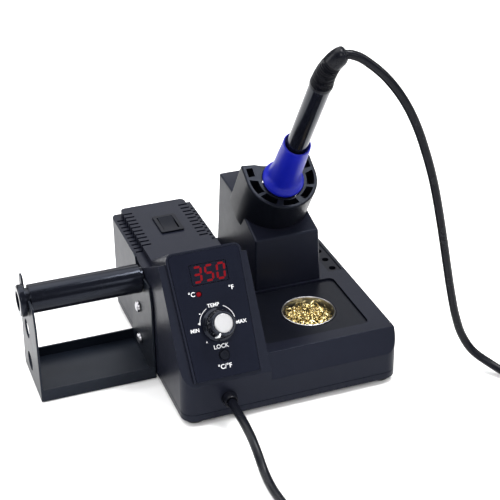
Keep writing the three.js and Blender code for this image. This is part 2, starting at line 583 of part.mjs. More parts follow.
bootProfile.push([0, 1]);
add(station, 'strain_relief', bent(bootProfile, bootCurve, 24), rubber);

// Round tube along one stretch of a curve, between two lengths measured from its start.
class Stretch extends THREE.Curve {
  constructor(whole, from, to) {
    super();
    Object.assign(this, { whole, from: from / whole.getLength(), to: to / whole.getLength() });
  }
  getPoint(t, target = new THREE.Vector3()) {
    return this.whole.getPointAt(THREE.MathUtils.lerp(this.from, this.to, t), target);
  }
}
function tube(whole, from, to) {
  const extrudePath = new Stretch(whole, from, to);
  const section = new THREE.Shape(Array.from({ length: CORD.sides }, (_, k) => {
    const angle = k * TAU / CORD.sides;
    return new THREE.Vector2(Math.cos(angle) * CORD.radius, Math.sin(angle) * CORD.radius);
  }));
  const steps = Math.round((to - from) / CORD.step);
  return solid(new THREE.ExtrudeGeometry(section, { steps, extrudePath, bevelEnabled: false }));
}

// One cord: out of the gland, over the floor to a small coil, round the right side and up to the handle.
const glandToCoil = [[31, 5.5, 18.4], [31, -2.2, 18.3], [31, -17.5, 17.9], [31, -30.5, 17.6], [31, -43.2, 15.6],
  [31, -54, 11.2], [31, -63, 6.4], [31, -74, 3.5], [31.5, -88, 3.1], [34, -106, 3.1], [40, -126, 3.1],
  [49, -145, 3.1], [57.5, -163, 3.1], [61.6, -176, 3.1], [62, -182, 3.1]];
const handleToCoil = [[112.8, 18.9, 238.5], [115.9, 17.4, 239.8], [119.5, 16.6, 239.1], [124.5, 15.9, 236.9], [130.6, 15.2, 232.4],
  [137.6, 14.6, 226.3], [144.2, 14, 219.2], [151.2, 13, 209.9], [158.3, 12, 198], [164.6, 11, 184.3],
  [169.8, 10, 169.9], [174.4, 9, 155.3], [178.2, 8, 140.6], [183.8, 7, 115], [188.8, 6, 89.5], [193.6, 5, 65],
  [198.6, 3.2, 42], [203.3, 0.8, 27], [210.5, -4, 14.4], [220.5, -14.5, 7], [230, -33, 3.8], [233.5, -58, 3.1],
  [229.5, -85, 3.1], [219, -113, 3.1], [203, -140, 3.1], [183, -164.5, 3.1], [163, -184, 4.2],
  [145, -197.5, 8.2], [127, -207.5, 13.6], [110, -213.8, 16.8], [95, -215, 16.6]];
const stationStretch = curveThrough(glandToCoil);
const ironStretch = curveThrough(handleToCoil);

function coilRing(grow) {
  const [inner, outer] = [CORD.coil - CORD.radius - grow, CORD.coil + CORD.radius + grow];
  const top = (CORD.turns * 2 + 2.3) * CORD.radius + grow;
  return turned([[inner, -grow], [outer, -grow], [outer, top], [inner, top], [inner, -grow]], 40,
    moved(CORD.coilX, CORD.coilY, 0.1));
}
const parted = CORD.hang + GAP + 0.1;
add(station, 'station_cord', cut(tube(stationStretch, 0, stationStretch.getLength()), coilRing(GAP)), rubber);
add(station, 'cord_coil', coilRing(0), rubber);
add(station, 'floor_cord', cut(tube(ironStretch, parted, ironStretch.getLength()), coilRing(GAP)), rubber);
add(station, 'iron_cord', tube(ironStretch, CORD.inBoot, CORD.hang), rubber);

// ---------------------------------------------------------------- place the model on its reference point
station.add(panelGroup, restGroup);
station.updateMatrixWorld(true);
const bounds = new THREE.Box3();
const looseCord = ['station_cord', 'cord_coil', 'floor_cord', 'iron_cord'];
station.traverse((piece) => {
  if (piece.isMesh && !looseCord.includes(piece.name)) bounds.expandByObject(piece, true);
});
const centre = bounds.getCenter(new THREE.Vector3());
station.position.set(-centre.x, -centre.y, 0);
export default station;
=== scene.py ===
"""Finished looks of a soldering iron station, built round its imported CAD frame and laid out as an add-on."""
import json
import math

import bmesh
import bpy
from bpy.props import FloatProperty, FloatVectorProperty, IntProperty, PointerProperty
from mathutils import Matrix, Vector


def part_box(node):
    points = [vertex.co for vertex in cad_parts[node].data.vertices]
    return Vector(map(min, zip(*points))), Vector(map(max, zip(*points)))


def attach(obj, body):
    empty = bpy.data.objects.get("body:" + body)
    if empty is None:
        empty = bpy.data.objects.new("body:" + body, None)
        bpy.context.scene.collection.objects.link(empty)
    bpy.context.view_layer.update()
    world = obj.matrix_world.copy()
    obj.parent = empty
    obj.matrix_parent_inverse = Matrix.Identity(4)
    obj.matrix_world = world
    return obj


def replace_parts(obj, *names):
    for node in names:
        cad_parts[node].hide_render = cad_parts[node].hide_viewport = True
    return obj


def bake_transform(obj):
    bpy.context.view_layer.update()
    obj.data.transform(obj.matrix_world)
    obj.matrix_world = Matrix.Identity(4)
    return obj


bl_info = {
    "name": "Soldering Iron Station",
    "version": (1, 0, 0),
    "blender": (4, 5, 0),
    "location": "3D View > Sidebar > Station",
    "description": "Builds a soldering station: case, controls, holder, iron, cleaner, reel bracket and cord",
    "category": "Add Mesh",
}

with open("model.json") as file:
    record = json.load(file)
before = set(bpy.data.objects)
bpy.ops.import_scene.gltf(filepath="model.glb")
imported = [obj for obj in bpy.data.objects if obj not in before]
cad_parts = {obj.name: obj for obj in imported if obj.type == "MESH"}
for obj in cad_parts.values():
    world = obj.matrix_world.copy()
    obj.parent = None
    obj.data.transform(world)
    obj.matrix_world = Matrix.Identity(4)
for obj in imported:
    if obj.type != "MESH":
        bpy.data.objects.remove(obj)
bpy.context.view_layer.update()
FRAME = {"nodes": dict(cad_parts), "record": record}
BODY_OF = {node: body for body, nodes in FRAME["record"]["behaviour"]["bodies"].items() for node in nodes}


def shifted(x, y, z):
    return Matrix.Translation((x, y, z))


def about(axis, degrees):
    return Matrix.Rotation(math.radians(degrees), 4, axis)


# ------------------------------------------------------------ sizes, in millimetres from the case's corner
MM = 0.001
GAP = 0.3
WALL = 2.2
CASE_WIDE, CASE_DEEP, CASE_CORNER, CASE_FLOOR = 155, 171, 9, 4
PARTING = 9.5
BOX_WIDE = 61.2
PLATEAU = 80
DECK = 39.7
BOX_SIDE = [(0, 0), (171, 0), (168.4, 75.5), (87, 75.5), (46.9, 98.8), (0, 31.7)]
DECK_SIDE = [(0, 0), (171, 0), (170, DECK), (9.6, DECK), (0, 24.7)]

# Label plate: half its width below and above, its length up the slope, and what sits on it (x across, y up).
PANEL_X, PANEL_FOOT, PANEL_TILT = 31.2, 35, 55
PANEL_LOW, PANEL_HIGH, PANEL_LONG = 22, 24.5, 84.1
PLATE_FACE = 0.3
KNOB_UP = 34.5
BUTTON_UP = 14.2
LAMP_X, LAMP_UP = -8.5, 56.3
WINDOW = (-11.5, 13.5, 62.3, 75.5)

# Plans as x0, x1, y0, y1, and centres as x, y.
TRAY = (64.8, 141, 20.1, 83.7)
TRAY_CORNER = 4
SWITCH = (26.2, 40, 122.8, 143)
CUP_X, CUP_Y = 108.2, 49.6
SCREWS = ((46, 10), (131, 14), (22, 159), (131, 159))
FEET = ((10, 9.6), (145, 9.6), (10, 161), (145, 161))
CORNERS = ("front_left", "front_right", "rear_left", "rear_right")
BRACKET_SCREW_Y, BRACKET_SCREWS_UP = 93.2, (15, 41.5)
SPINDLE_Y, SPINDLE_UP = 87.4, 68

# ---------------------------------------------------------------- places
CASE_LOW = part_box("base_plate")[0]
BODY = shifted(CASE_LOW.x, CASE_LOW.y, 0) @ Matrix.Scale(MM, 4)
ON_PANEL = shifted(PANEL_X, 0, PANEL_FOOT) @ about("X", PANEL_TILT)
ON_REST = shifted(107.6, 97, 120.2) @ about("X", 33)
PANEL = BODY @ ON_PANEL
REST = BODY @ ON_REST
ALONG_X = Matrix(((0, 0, 1, 0), (1, 0, 0, 0), (0, 1, 0, 0), (0, 0, 0, 1)))
TO_RIGHT = about("Y", 90)
TO_LEFT = about("Y", -90)
TO_FRONT = about("X", 90)
AT_GLAND = shifted(31, 0, 18.4) @ TO_FRONT

# ---------------------------------------------------------------- stage
CAMERA_SPOT = (-199.15, -659.76, 530.21)
CAMERA_TURN = (20.41, 29.81, -0.27)
CAMERA_LENS = 94.1

SKY = 0.22
FLOOR_REACH = 60
# Each lamp: name, place, aim, width and length in metres, and power in watts.
LAMPS = (
    ("left softbox", (-1.1, 0.5, 0.5), (0, 0, 0.1), (0.5, 0.9), 7),
    ("front softbox", (-0.55, -1.35, 1.35), (0, 0, 0.05), (0.7, 0.7), 15),
    ("low right softbox", (0.5, -1.25, 0.85), (0.05, 0, 0.05), (0.5, 0.5), 4),
    ("overhead strip", (0.32, -0.08, 1.05), (0.02, 0, 0.05), (0.3, 0.3), 9),
    ("rear softbox", (0.45, 1.25, 0.85), (0, 0.02, 0.06), (0.9, 0.5), 3),
    ("right strip", (0.9, -0.2, 0.8), (0.05, 0, 0.12), (0.12, 0.9), 4))
SUN_POWER, SUN_SPREAD, SUN_AIM = 3.3, 62, (0.25, -0.35, -0.9)

# ---------------------------------------------------------------- cord: listed points, apart from the wound coil
CORD_RADIUS = 3.0
CORD_STEP, CORD_SIDES = 3.0, 14
COIL_X, COIL_Y, COIL_RADIUS, COIL_TURNS = 95, -182, 33, 2.25
GLAND_TO_COIL = (
    (31, 5.5, 18.4), (31, -2.2, 18.3), (31, -17.5, 17.9), (31, -30.5, 17.6), (31, -43.2, 15.6),
    (31, -54, 11.2), (31, -63, 6.4), (31, -74, 3.5), (31.5, -88, 3.1), (34, -106, 3.1),
    (40, -126, 3.1), (49, -145, 3.1), (57.5, -163, 3.1), (61.6, -176, 3.1), (62, -182, 3.1))
HANDLE_TO_COIL = (
    (112.8, 18.9, 238.5), (115.9, 17.4, 239.8), (119.5, 16.6, 239.1), (124.5, 15.9, 236.9),
    (130.6, 15.2, 232.4), (137.6, 14.6, 226.3), (144.2, 14, 219.2), (151.2, 13, 209.9),
    (158.3, 12, 198), (164.6, 11, 184.3), (169.8, 10, 169.9), (174.4, 9, 155.3), (178.2, 8, 140.6),
    (183.8, 7, 115), (188.8, 6, 89.5), (193.6, 5, 65), (198.6, 3.2, 42), (203.3, 0.8, 27),
    (210.5, -4, 14.4), (220.5, -14.5, 7), (230, -33, 3.8), (233.5, -58, 3.1), (229.5, -85, 3.1),
    (219, -113, 3.1), (203, -140, 3.1), (183, -164.5, 3.1), (163, -184, 4.2), (145, -197.5, 8.2),
    (127, -207.5, 13.6), (110, -213.8, 16.8), (95, -215, 16.6))
BOOT_ROUTE = ((107.6, 35.8, 214.4), (107.6, 30.5, 222.7), (108.4, 25.6, 229.6), (110.2, 21.6, 235),
              (112.8, 18.9, 238.5), (115.9, 17.4, 239.8))
BOOT_RINGS = 130
BOOT_FOOT, BOOT_TAPER, BOOT_VALLEY = 7.8, 2.0, 1.6
RIBS_FROM, RIBS_TO, BOOT_END = 0.07, 0.7, 0.9


class StationSizes(bpy.types.PropertyGroup):
    """Sizes that change how fine the station's mouldings, printing and shavings are."""

    edge: FloatProperty(name="Case edge", description="Rounding of the case's outer edges, in mm",
                        default=1.5, min=0.2, max=3)
    small_edge: FloatProperty(name="Small edge", description="Rounding of the base plate and the rocker, in mm",
                              default=0.5, min=0.1, max=1.5)
    sheet_edge: FloatProperty(name="Sheet edge", description="Rounding of the bracket's sheet metal, in mm",
                              default=0.3, min=0.05, max=0.7)
    vents: IntProperty(name="Vents", description="Slots on each flank of the control box", default=10,
                       min=2, max=14)
    curls: IntProperty(name="Brass curls", description="Number of shavings in the cleaner", default=700,
                       min=50, max=1200)
    ribs: IntProperty(name="Boot ribs", description="Ribs round the strain relief", default=13, min=4, max=24)
    flutes: IntProperty(name="Knob ribs", description="Grip ribs round the knob", default=24, min=8, max=40)
    legend: FloatProperty(name="Legend height", description="Height of the panel's capital letters, in mm",
                          default=3.1, min=1, max=6)
    grain: FloatProperty(name="Grain", description="Size of the moulding's grain", default=0.00045,
                         min=0.0001, max=0.002, subtype="DISTANCE", unit="LENGTH")


def colour(name, default, description):
    return FloatVectorProperty(name=name, description=description, default=default, size=3, min=0, max=1,
                               subtype="COLOR")


class StationColours(bpy.types.PropertyGroup):
    """Colours of the station's materials, as linear values."""

    case: colour("Case", (0.0062, 0.007, 0.0125), "Charcoal mouldings of the case")
    panel: colour("Panel", (0.0042, 0.005, 0.0105), "Label plate round the knob")
    black: colour("Black parts", (0.0035, 0.004, 0.0065), "Small black mouldings")
    steel_paint: colour("Bracket", (0.004, 0.0055, 0.009), "Powder coat on the bracket")
    silicone: colour("Grip", (0.002, 0.006, 0.23), "Silicone sleeve on the iron")
    brass: colour("Brass", (0.88, 0.71, 0.32), "Shavings in the cleaner")
    legend: colour("Legends", (0.85, 0.86, 0.88), "Printing on the panel")
    glow: colour("Display", (0.8, 0.012, 0.03), "Lit digits and lamp")


# ---------------------------------------------------------------- node graphs
class Wire:
    """An output socket that adds, subtracts, multiplies and divides through Math nodes."""

    def __init__(self, graph, socket):
        self.graph = graph
        self.socket = socket

    def _math(self, operation, first, second):
        return self.graph.node("ShaderNodeMath", {"operation": operation}, {0: first, 1: second})

    def __add__(self, other):
        return self._math("ADD", self, other)

    def __sub__(self, other):
        return self._math("SUBTRACT", self, other)

    def __rsub__(self, other):
        return self._math("SUBTRACT", other, self)

    def __mul__(self, other):
        return self._math("MULTIPLY", self, other)

    def __truediv__(self, other):
        return self._math("DIVIDE", self, other)

    def __pow__(self, other):
        return self._math("POWER", self, other)

    __radd__ = __add__
    __rmul__ = __mul__


class Graph:
    """Adds nodes to a tree: settings first, then the values or wires of its inputs."""

    def __init__(self, tree):
        self.tree = tree

    def node(self, kind, settings=None, inputs=None, output=0):
        node = self.tree.nodes.new(kind)
        for key, value in (settings or {}).items():
            if key == "stops":
                self._stops(node.color_ramp, value)
            else:
                setattr(node, key, value)
        for key, value in (inputs or {}).items():
            self.feed(node.inputs[key], value)
        return Wire(self, node.outputs[output])

    def feed(self, socket, value):
        if isinstance(value, Wire):
            self.tree.links.new(value.socket, socket)
        else:
            socket.default_value = value

    def _stops(self, ramp, stops):
        while len(ramp.elements) < len(stops):
            ramp.elements.new(1)
        for element, (place, shade) in zip(ramp.elements, stops):
            element.position = place
            element.color = (*shade, 1)


class Finish(Graph):
    """One material: a Principled shader whose varying sockets are fed by expressions."""

    def __init__(self, name, **constants):
        self.material = bpy.data.materials.new(name)
        self.material.use_nodes = True
        super().__init__(self.material.node_tree)
        self.tree.nodes.clear()
        surface = self.tree.nodes.new("ShaderNodeOutputMaterial")
        self.shader = self.tree.nodes.new("ShaderNodeBsdfPrincipled")
        self.tree.links.new(self.shader.outputs[0], surface.inputs["Surface"])
        self.put(**constants)

    def put(self, **sockets):
        for key, value in sockets.items():
            socket = self.shader.inputs[key.replace("_", " ")]
            if isinstance(value, tuple) and len(value) == 3:
                value = (*value, 1)
            self.feed(socket, value)
        return self.material

    def place(self, turn=(0, 0, 0)):
        spot = self.node("ShaderNodeTexCoord", output="Object")
        return self.node("ShaderNodeMapping", inputs={"Vector": spot, "Rotation": turn})

    def noise(self, scale, detail=3, rough=0.55):
        return self.node("ShaderNodeTexNoise", inputs={"Vector": self.place(), "Scale": scale,
                                                       "Detail": detail, "Roughness": rough})

    def blend(self, amount, first, second):
        shades = [(*c, 1) if isinstance(c, tuple) and len(c) == 3 else c for c in (first, second)]
        inputs = {0: amount, 6: shades[0], 7: shades[1]}
        return self.node("ShaderNodeMix", {"data_type": "RGBA"}, inputs, output=2)

    def bump(self, height, strength, depth):
        return self.node("ShaderNodeBump", inputs={"Height": height, "Strength": strength, "Distance": depth})


COOL = (0.72, 0.8, 1.0)
# Painted shade in the brass shavings: the level in mm below which their colour goes near black, and the rise
# over which that fades out.
WOOL_PAINTED_SHADE_BELOW, WOOL_PAINTED_SHADE_FADE = 31.5, 4.5


def tint(shade, factor):
    return tuple(min(1, channel * factor) for channel in shade)


def sizes():
    return bpy.context.scene.station_sizes


def colours():
    return bpy.context.scene.station_colours


def moulded(name, shade, gloss=0.34, grain=0.22, shine=0.12):
    """Injection-moulded plastic: fine spark-eroded grain, slight cloudiness and handling marks."""
    finish = Finish(name, IOR=1.47, Specular_IOR_Level=shine, Specular_Tint=COOL)
    cloud = finish.noise(28, 2)
    grit = finish.noise(1 / sizes().grain, 2)
    marks = finish.noise(140, 4, 0.7)
    return finish.put(Base_Color=finish.blend(cloud, tint(shade, 0.82), tint(shade, 1.2)),
                      Roughness=gloss - 0.06 + marks * 0.1 + grit * 0.04,
                      Normal=finish.bump(grit, grain, 0.0001))


def glossy(name, shade):
    """Polished plastic with faint flow waviness and fine scuffs."""
    finish = Finish(name, IOR=1.5, Specular_IOR_Level=0.2, Specular_Tint=COOL)
    scuff = finish.noise(320, 4, 0.75)
    return finish.put(Base_Color=finish.blend(finish.noise(40, 2), tint(shade, 0.8), tint(shade, 1.3)),
                      Roughness=0.12 + scuff ** 3 * 0.3,
                      Normal=finish.bump(finish.noise(60, 2), 0.06, 0.0003))


def rubbery(name, shade, gloss, grain, shine, sheen=0.0):
    """Rubber or silicone: soft, slightly dusty, with fine moulding grain."""
    finish = Finish(name, IOR=1.42, Specular_IOR_Level=shine, Sheen_Weight=sheen, Sheen_Roughness=0.4)
    dust = finish.noise(90, 4, 0.65)
    grit = finish.noise(1500, 2)
    return finish.put(Base_Color=finish.blend(dust, tint(shade, 0.85), tint(shade, 1.18)),
                      Roughness=gloss - 0.08 + dust * 0.16, Normal=finish.bump(grit, grain, 0.0001))


def coated(name, shade):
    """Powder coat on sheet steel: fine orange peel."""
    finish = Finish(name, IOR=1.5, Specular_IOR_Level=0.18, Specular_Tint=COOL)
    peel = finish.noise(900, 2)
    rub = finish.noise(110, 4, 0.7)
    return finish.put(Base_Color=finish.blend(rub, tint(shade, 0.85), tint(shade, 1.25)),
                      Roughness=0.3 + rub * 0.14, Normal=finish.bump(peel, 0.3, 0.00015))


def metal(name, shade, gloss, grain, bare=1.0):
    """Bare metal with a fine, even tooling grain."""
    finish = Finish(name, Metallic=bare)
    tooling = finish.noise(grain, 3, 0.6)
    return finish.put(Base_Color=finish.blend(tooling, tint(shade, 0.9), tint(shade, 1.05)),
                      Roughness=gloss - 0.05 + tooling * 0.12, Normal=finish.bump(tooling, 0.04, 0.0001))


def shavings(name, shade):
    """Brass shavings: bright strips that vary at random from curl to curl, with painted shade that darkens them
    towards the bottom of the cup.
    """
    finish = Finish(name, Metallic=1.0)
    tone = finish.noise(620, 3, 0.6)
    drawn = finish.noise(2600, 2)
    height = finish.node("ShaderNodeSeparateXYZ", inputs={0: finish.place()}, output=2)
    # Painted shade: the base colour drops to near black on the lower strands, standing in for the shadow deep
    # between the curls.
    depth = (height - WOOL_PAINTED_SHADE_BELOW * MM) / (WOOL_PAINTED_SHADE_FADE * MM)
    pale = tuple(min(1, channel + 0.03) for channel in shade)
    unshaded_strips = finish.blend(tone ** 1.6 * 2.2, tint(shade, 0.16), pale)
    return finish.put(Base_Color=finish.blend(depth, tint(shade, 0.03), unshaded_strips),
                      Roughness=0.16 + tone * 0.2, Normal=finish.bump(drawn, 0.2, 0.0001))


def printed(name, shade):
    """Screen-printed ink, a little worn and uneven."""
    finish = Finish(name)
    wear = finish.noise(900, 4, 0.7)
    return finish.put(Base_Color=finish.blend(wear, tint(shade, 0.86), tint(shade, 1)),
                      Roughness=0.45 + wear * 0.15)


def lit(name, shade, power):
    """Diffused lamp light behind a coloured filter."""
    finish = Finish(name, Emission_Strength=power, Roughness=0.5, Specular_IOR_Level=0.05)
    uneven = finish.noise(500, 2)
    glow = finish.blend(uneven, tint(shade, 0.75), tint(shade, 1))
    return finish.put(Base_Color=finish.blend(uneven, tint(shade, 0.05), tint(shade, 0.08)),
                      Emission_Color=glow)


def circuit(name):
    """Green solder mask with the faint relief of its tracks."""
    finish = Finish(name, IOR=1.5, Coat_Weight=0.4, Coat_Roughness=0.15)
    tracks = finish.node("ShaderNodeTexWave", {"bands_direction": "DIAGONAL"},
                         {"Vector": finish.place(), "Scale": 220, "Distortion": 3.0, "Detail": 2})
    track = finish.node("ShaderNodeValToRGB", {"stops": [(0.55, (0, 0, 0)), (0.62, (1, 1, 1))]}, {0: tracks})
    return finish.put(Base_Color=finish.blend(track, (0.012, 0.09, 0.035), (0.03, 0.19, 0.07)),
                      Roughness=0.3 + finish.noise(300) * 0.15)


def banded(name, dark, light, pitch, metallic, turn=(0, 0, 0)):
    """Stacked sheets or wound wire: fine bands one pitch apart."""
    finish = Finish(name, Metallic=metallic)
    band = finish.node("ShaderNodeTexWave", {"bands_direction": "Z"},
                       {"Vector": finish.place(turn), "Scale": 0.314 / pitch, "Distortion": 0.4, "Detail": 1})
    return finish.put(Base_Color=finish.blend(band, dark, light), Roughness=0.35 + finish.noise(200) * 0.2,
                      Normal=finish.bump(band, 0.5, pitch * 0.4))


def bench(name):
    """Plain matt backdrop."""
    finish = Finish(name)
    return finish.put(Base_Color=finish.blend(finish.noise(3, 2), (0.93, 0.93, 0.935), (0.95, 0.95, 0.95)),
                      Roughness=0.75 + finish.noise(12) * 0.1)


LIBRARY = {
    "case_plastic": lambda: moulded("charcoal moulding", colours().case),
    "black_plastic": lambda: moulded("black moulding", colours().black, 0.34, 0.22, 0.1),
    "panel_plastic": lambda: moulded("blue-black label plate", colours().panel, 0.3, 0.06, 0.06),
    "gloss_black": lambda: glossy("polished black plastic", colours().black),
    "bracket_paint": lambda: coated("black powder coat", colours().steel_paint),
    "steel": lambda: metal("nickel-plated steel", (0.42, 0.42, 0.44), 0.3, 700),
    "aluminium": lambda: metal("turned aluminium", (0.4, 0.4, 0.41), 0.36, 1100, 0.75),
    "blue_silicone": lambda: rubbery("royal blue silicone", colours().silicone, 0.4, 0.2, 0.24, 0.02),
    "black_rubber": lambda: rubbery("black rubber", colours().black, 0.26, 0.06, 0.16),
    "brass": lambda: shavings("brass shavings", colours().brass),
    "circuit_board": lambda: circuit("solder mask"),
    "copper": lambda: banded("copper winding", (0.3, 0.11, 0.04), (0.75, 0.36, 0.16), 0.0007, 0.9),
    "laminations": lambda: banded("steel laminations", (0.05, 0.05, 0.055), (0.22, 0.22, 0.23), 0.0006, 0.6,
                                  (math.pi / 2, 0, 0)),
    "smoked_window": lambda: moulded("dark display filter", colours().panel, 0.28, 0.04, 0.06),
    "red_lamp": lambda: lit("lit red diffuser", colours().glow, 0.26),
    "ceramic": lambda: printed("pale ink", colours().legend),
}
MADE = {}


def material(slot):
    if slot not in MADE:
        MADE[slot] = LIBRARY[slot]()
    return MADE[slot]


# ---------------------------------------------------------------- mesh making, in millimetres
def keep(bm, place, name, body, slot, smooth=32):
    """Turns a bmesh into a finished piece that rides on a body."""
    bmesh.ops.recalc_face_normals(bm, faces=bm.faces)
    mesh = bpy.data.meshes.new(name)
    bm.to_mesh(mesh)
    bm.free()
    mesh.transform(place)
    mesh.shade_smooth()
    mesh.set_sharp_from_angle(angle=math.radians(smooth))
    piece = bpy.data.objects.new(name, mesh)
    bpy.context.collection.objects.link(piece)
    weighted = piece.modifiers.new("weighted", "WEIGHTED_NORMAL")
    weighted.keep_sharp = True
    evaluated = piece.evaluated_get(bpy.context.evaluated_depsgraph_get())
    piece.data = bpy.data.meshes.new_from_object(evaluated)
    piece.modifiers.clear()
    bpy.data.meshes.remove(mesh)
    piece.data.name = name
    piece.data.materials.clear()
    piece.data.materials.append(material(slot))
    if body:
        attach(piece, body)
    return piece


def soften(bm, width, segments=3, angle=28):
    """Rounds every edge that turns more sharply than the angle."""
    bmesh.ops.remove_doubles(bm, verts=bm.verts, dist=1e-4)
    bmesh.ops.recalc_face_normals(bm, faces=bm.faces)
    sharp = [e for e in bm.edges if len(e.link_faces) == 2 and e.calc_face_angle(0) > math.radians(angle)]
    bmesh.ops.bevel(bm, geom=sharp, offset=width, segments=segments, profile=0.5, affect="EDGES",
                    clamp_overlap=True)
    return bm


def prism(outline, low, high, place=None):
    """Solid between two levels of local Z over an outline of [x, y] points."""
    bm = bmesh.new()
    floor = [bm.verts.new((x, y, low)) for x, y in outline]
    roof = [bm.verts.new((x, y, high)) for x, y in outline]
    bm.faces.new(reversed(floor))
    bm.faces.new(roof)
    for i, corner in enumerate(floor):
        j = (i + 1) % len(floor)
        bm.faces.new((corner, floor[j], roof[j], roof[i]))
    if place:
        bm.transform(place)
    bmesh.ops.recalc_face_normals(bm, faces=bm.faces)
    return bm


def slab(x0, x1, y0, y1, z0, z1, place=None):
    return prism([(x0, y0), (x1, y0), (x1, y1), (x0, y1)], z0, z1, place)


def hull(points):
    bm = bmesh.new()
    for point in points:
        bm.verts.new(point)
    bmesh.ops.convex_hull(bm, input=bm.verts)
    bmesh.ops.dissolve_limit(bm, angle_limit=0.01, verts=bm.verts, edges=bm.edges)
    return bm


def turned(profile, sides=48, place=None):
    """Lathe of [radius, height] pairs round local Z; it starts and ends on the axis or closes on itself."""
    bm = bmesh.new()
    rings = []
    for radius, height in profile:
        if radius < 1e-6:
            rings.append([bm.verts.new((0, 0, height))] * sides)
            continue
        angles = [2 * math.pi * k / sides for k in range(sides)]
        rings.append([bm.verts.new((radius * math.cos(a), radius * math.sin(a), height)) for a in angles])
    for low, high in zip(rings, rings[1:]):
        for i in range(sides):
            j = (i + 1) % sides
            corners = list(dict.fromkeys((low[i], low[j], high[j], high[i])))
            if len(corners) > 2:
                bm.faces.new(corners)
    bmesh.ops.remove_doubles(bm, verts=bm.verts, dist=1e-5)
    if place:
        bm.transform(place)
    bmesh.ops.recalc_face_normals(bm, faces=bm.faces)
    return bm


def rod(radius, low, high, sides=32, place=None):
    return turned([(0, low), (radius, low), (radius, high), (0, high)], sides, place)


def arc(x, y, radius, start, end, steps=8):
    angles = [math.radians(start + (end - start) * k / steps) for k in range(steps + 1)]
    return [(x + radius * math.cos(a), y + radius * math.sin(a)) for a in angles]


def rounded_rect(x0, x1, y0, y1, radius, steps=8):
    left, right, front, rear = x0 + radius, x1 - radius, y0 + radius, y1 - radius
    return (arc(right, front, radius, -90, 0, steps) + arc(right, rear, radius, 0, 90, steps)
            + arc(left, rear, radius, 90, 180, steps) + arc(left, front, radius, 180, 270, steps))


def merged(*solids):
    """One bmesh that holds several, which are freed."""
    whole = bmesh.new()
    for bm in solids:
        mesh = bpy.data.meshes.new("merging")
        bm.to_mesh(mesh)
        bm.free()
        whole.from_mesh(mesh)
        bpy.data.meshes.remove(mesh)
    return whole


def carve(base, steps):
    """Applies exact booleans in order: steps are (operation, bmesh) pairs, all freed."""
    def scratch(bm):
        mesh = bpy.data.meshes.new("scratch")
        bm.to_mesh(mesh)
        bm.free()
        spare = bpy.data.objects.new("scratch", mesh)
        bpy.context.collection.objects.link(spare)
        return spare

    target = scratch(base)
    tools = [scratch(bm) for _, bm in steps]
    for (operation, _), tool in zip(steps, tools):
        cut = target.modifiers.new("cut", "BOOLEAN")
        cut.operation = operation
        cut.solver = "EXACT"
        cut.object = tool
    evaluated = target.evaluated_get(bpy.context.evaluated_depsgraph_get())
    result = bmesh.new()
    result.from_mesh(evaluated.to_mesh())
    evaluated.to_mesh_clear()
    for spare in (target, *tools):
        mesh = spare.data
        bpy.data.objects.remove(spare)
        bpy.data.meshes.remove(mesh)
    bmesh.ops.remove_doubles(result, verts=result.verts, dist=1e-4)
    bmesh.ops.dissolve_degenerate(result, dist=1e-4, edges=result.edges)
    return result


def softened_copy(node, place, width, segments=2, angle=28):
    """The CAD node's own shape with its edges rounded, in the place's millimetres."""
    bm = bmesh.new()
    bm.from_mesh(FRAME["nodes"][node].data)
    bm.transform(place.inverted())
    bmesh.ops.remove_doubles(bm, verts=bm.verts, dist=1e-3)
    bmesh.ops.dissolve_limit(bm, angle_limit=math.radians(1), verts=bm.verts, edges=bm.edges)
    return soften(bm, width, segments, angle)


def grown(tree, inputs, base=None):
    """Runs a Geometry Nodes tree, on a base mesh if there is one, and returns its result as a bmesh."""
    mesh = bpy.data.meshes.new("growing")
    if base:
        base.to_mesh(mesh)
        base.free()
    spare = bpy.data.objects.new("growing", mesh)
    bpy.context.collection.objects.link(spare)
    modifier = spare.modifiers.new("repeat", "NODES")
    modifier.node_group = tree
    sockets = {item.name: item.identifier for item in tree.interface.items_tree if item.in_out == "INPUT"}
    for key, value in inputs.items():
        modifier[sockets[key]] = value
    evaluated = spare.evaluated_get(bpy.context.evaluated_depsgraph_get())
    result = bpy.data.meshes.new_from_object(evaluated)
    bm = bmesh.new()
    bm.from_mesh(result)
    bpy.data.objects.remove(spare)
    bpy.data.meshes.remove(mesh)
    bpy.data.meshes.remove(result)
    return bm


def new_tree(name, inputs):
    """Empty Geometry Nodes tree with named inputs: (name, socket kind, default)."""
    tree = bpy.data.node_groups.new(name, "GeometryNodeTree")
    tree.interface.new_socket("Geometry", in_out="INPUT", socket_type="NodeSocketGeometry")
    tree.interface.new_socket("Geometry", in_out="OUTPUT", socket_type="NodeSocketGeometry")
    for label, kind, default in inputs:
        socket = tree.interface.new_socket(label, in_out="INPUT", socket_type=kind)
        if default is not None:
            socket.default_value = default
    graph = Graph(tree)
    entry = tree.nodes.new("NodeGroupInput")
    ins = {socket.name: Wire(graph, socket) for socket in entry.outputs if socket.name}
    return graph, ins


def close_tree(graph, geometry, slot):
    """Ends a tree in Realize Instances and Set Material."""
    real = graph.node("GeometryNodeRealizeInstances", inputs={0: geometry})
    painted = graph.node("GeometryNodeSetMaterial", inputs={0: real, "Material": material(slot)})
    exit_node = graph.tree.nodes.new("NodeGroupOutput")
    graph.feed(exit_node.inputs[0], painted)
    return graph.tree


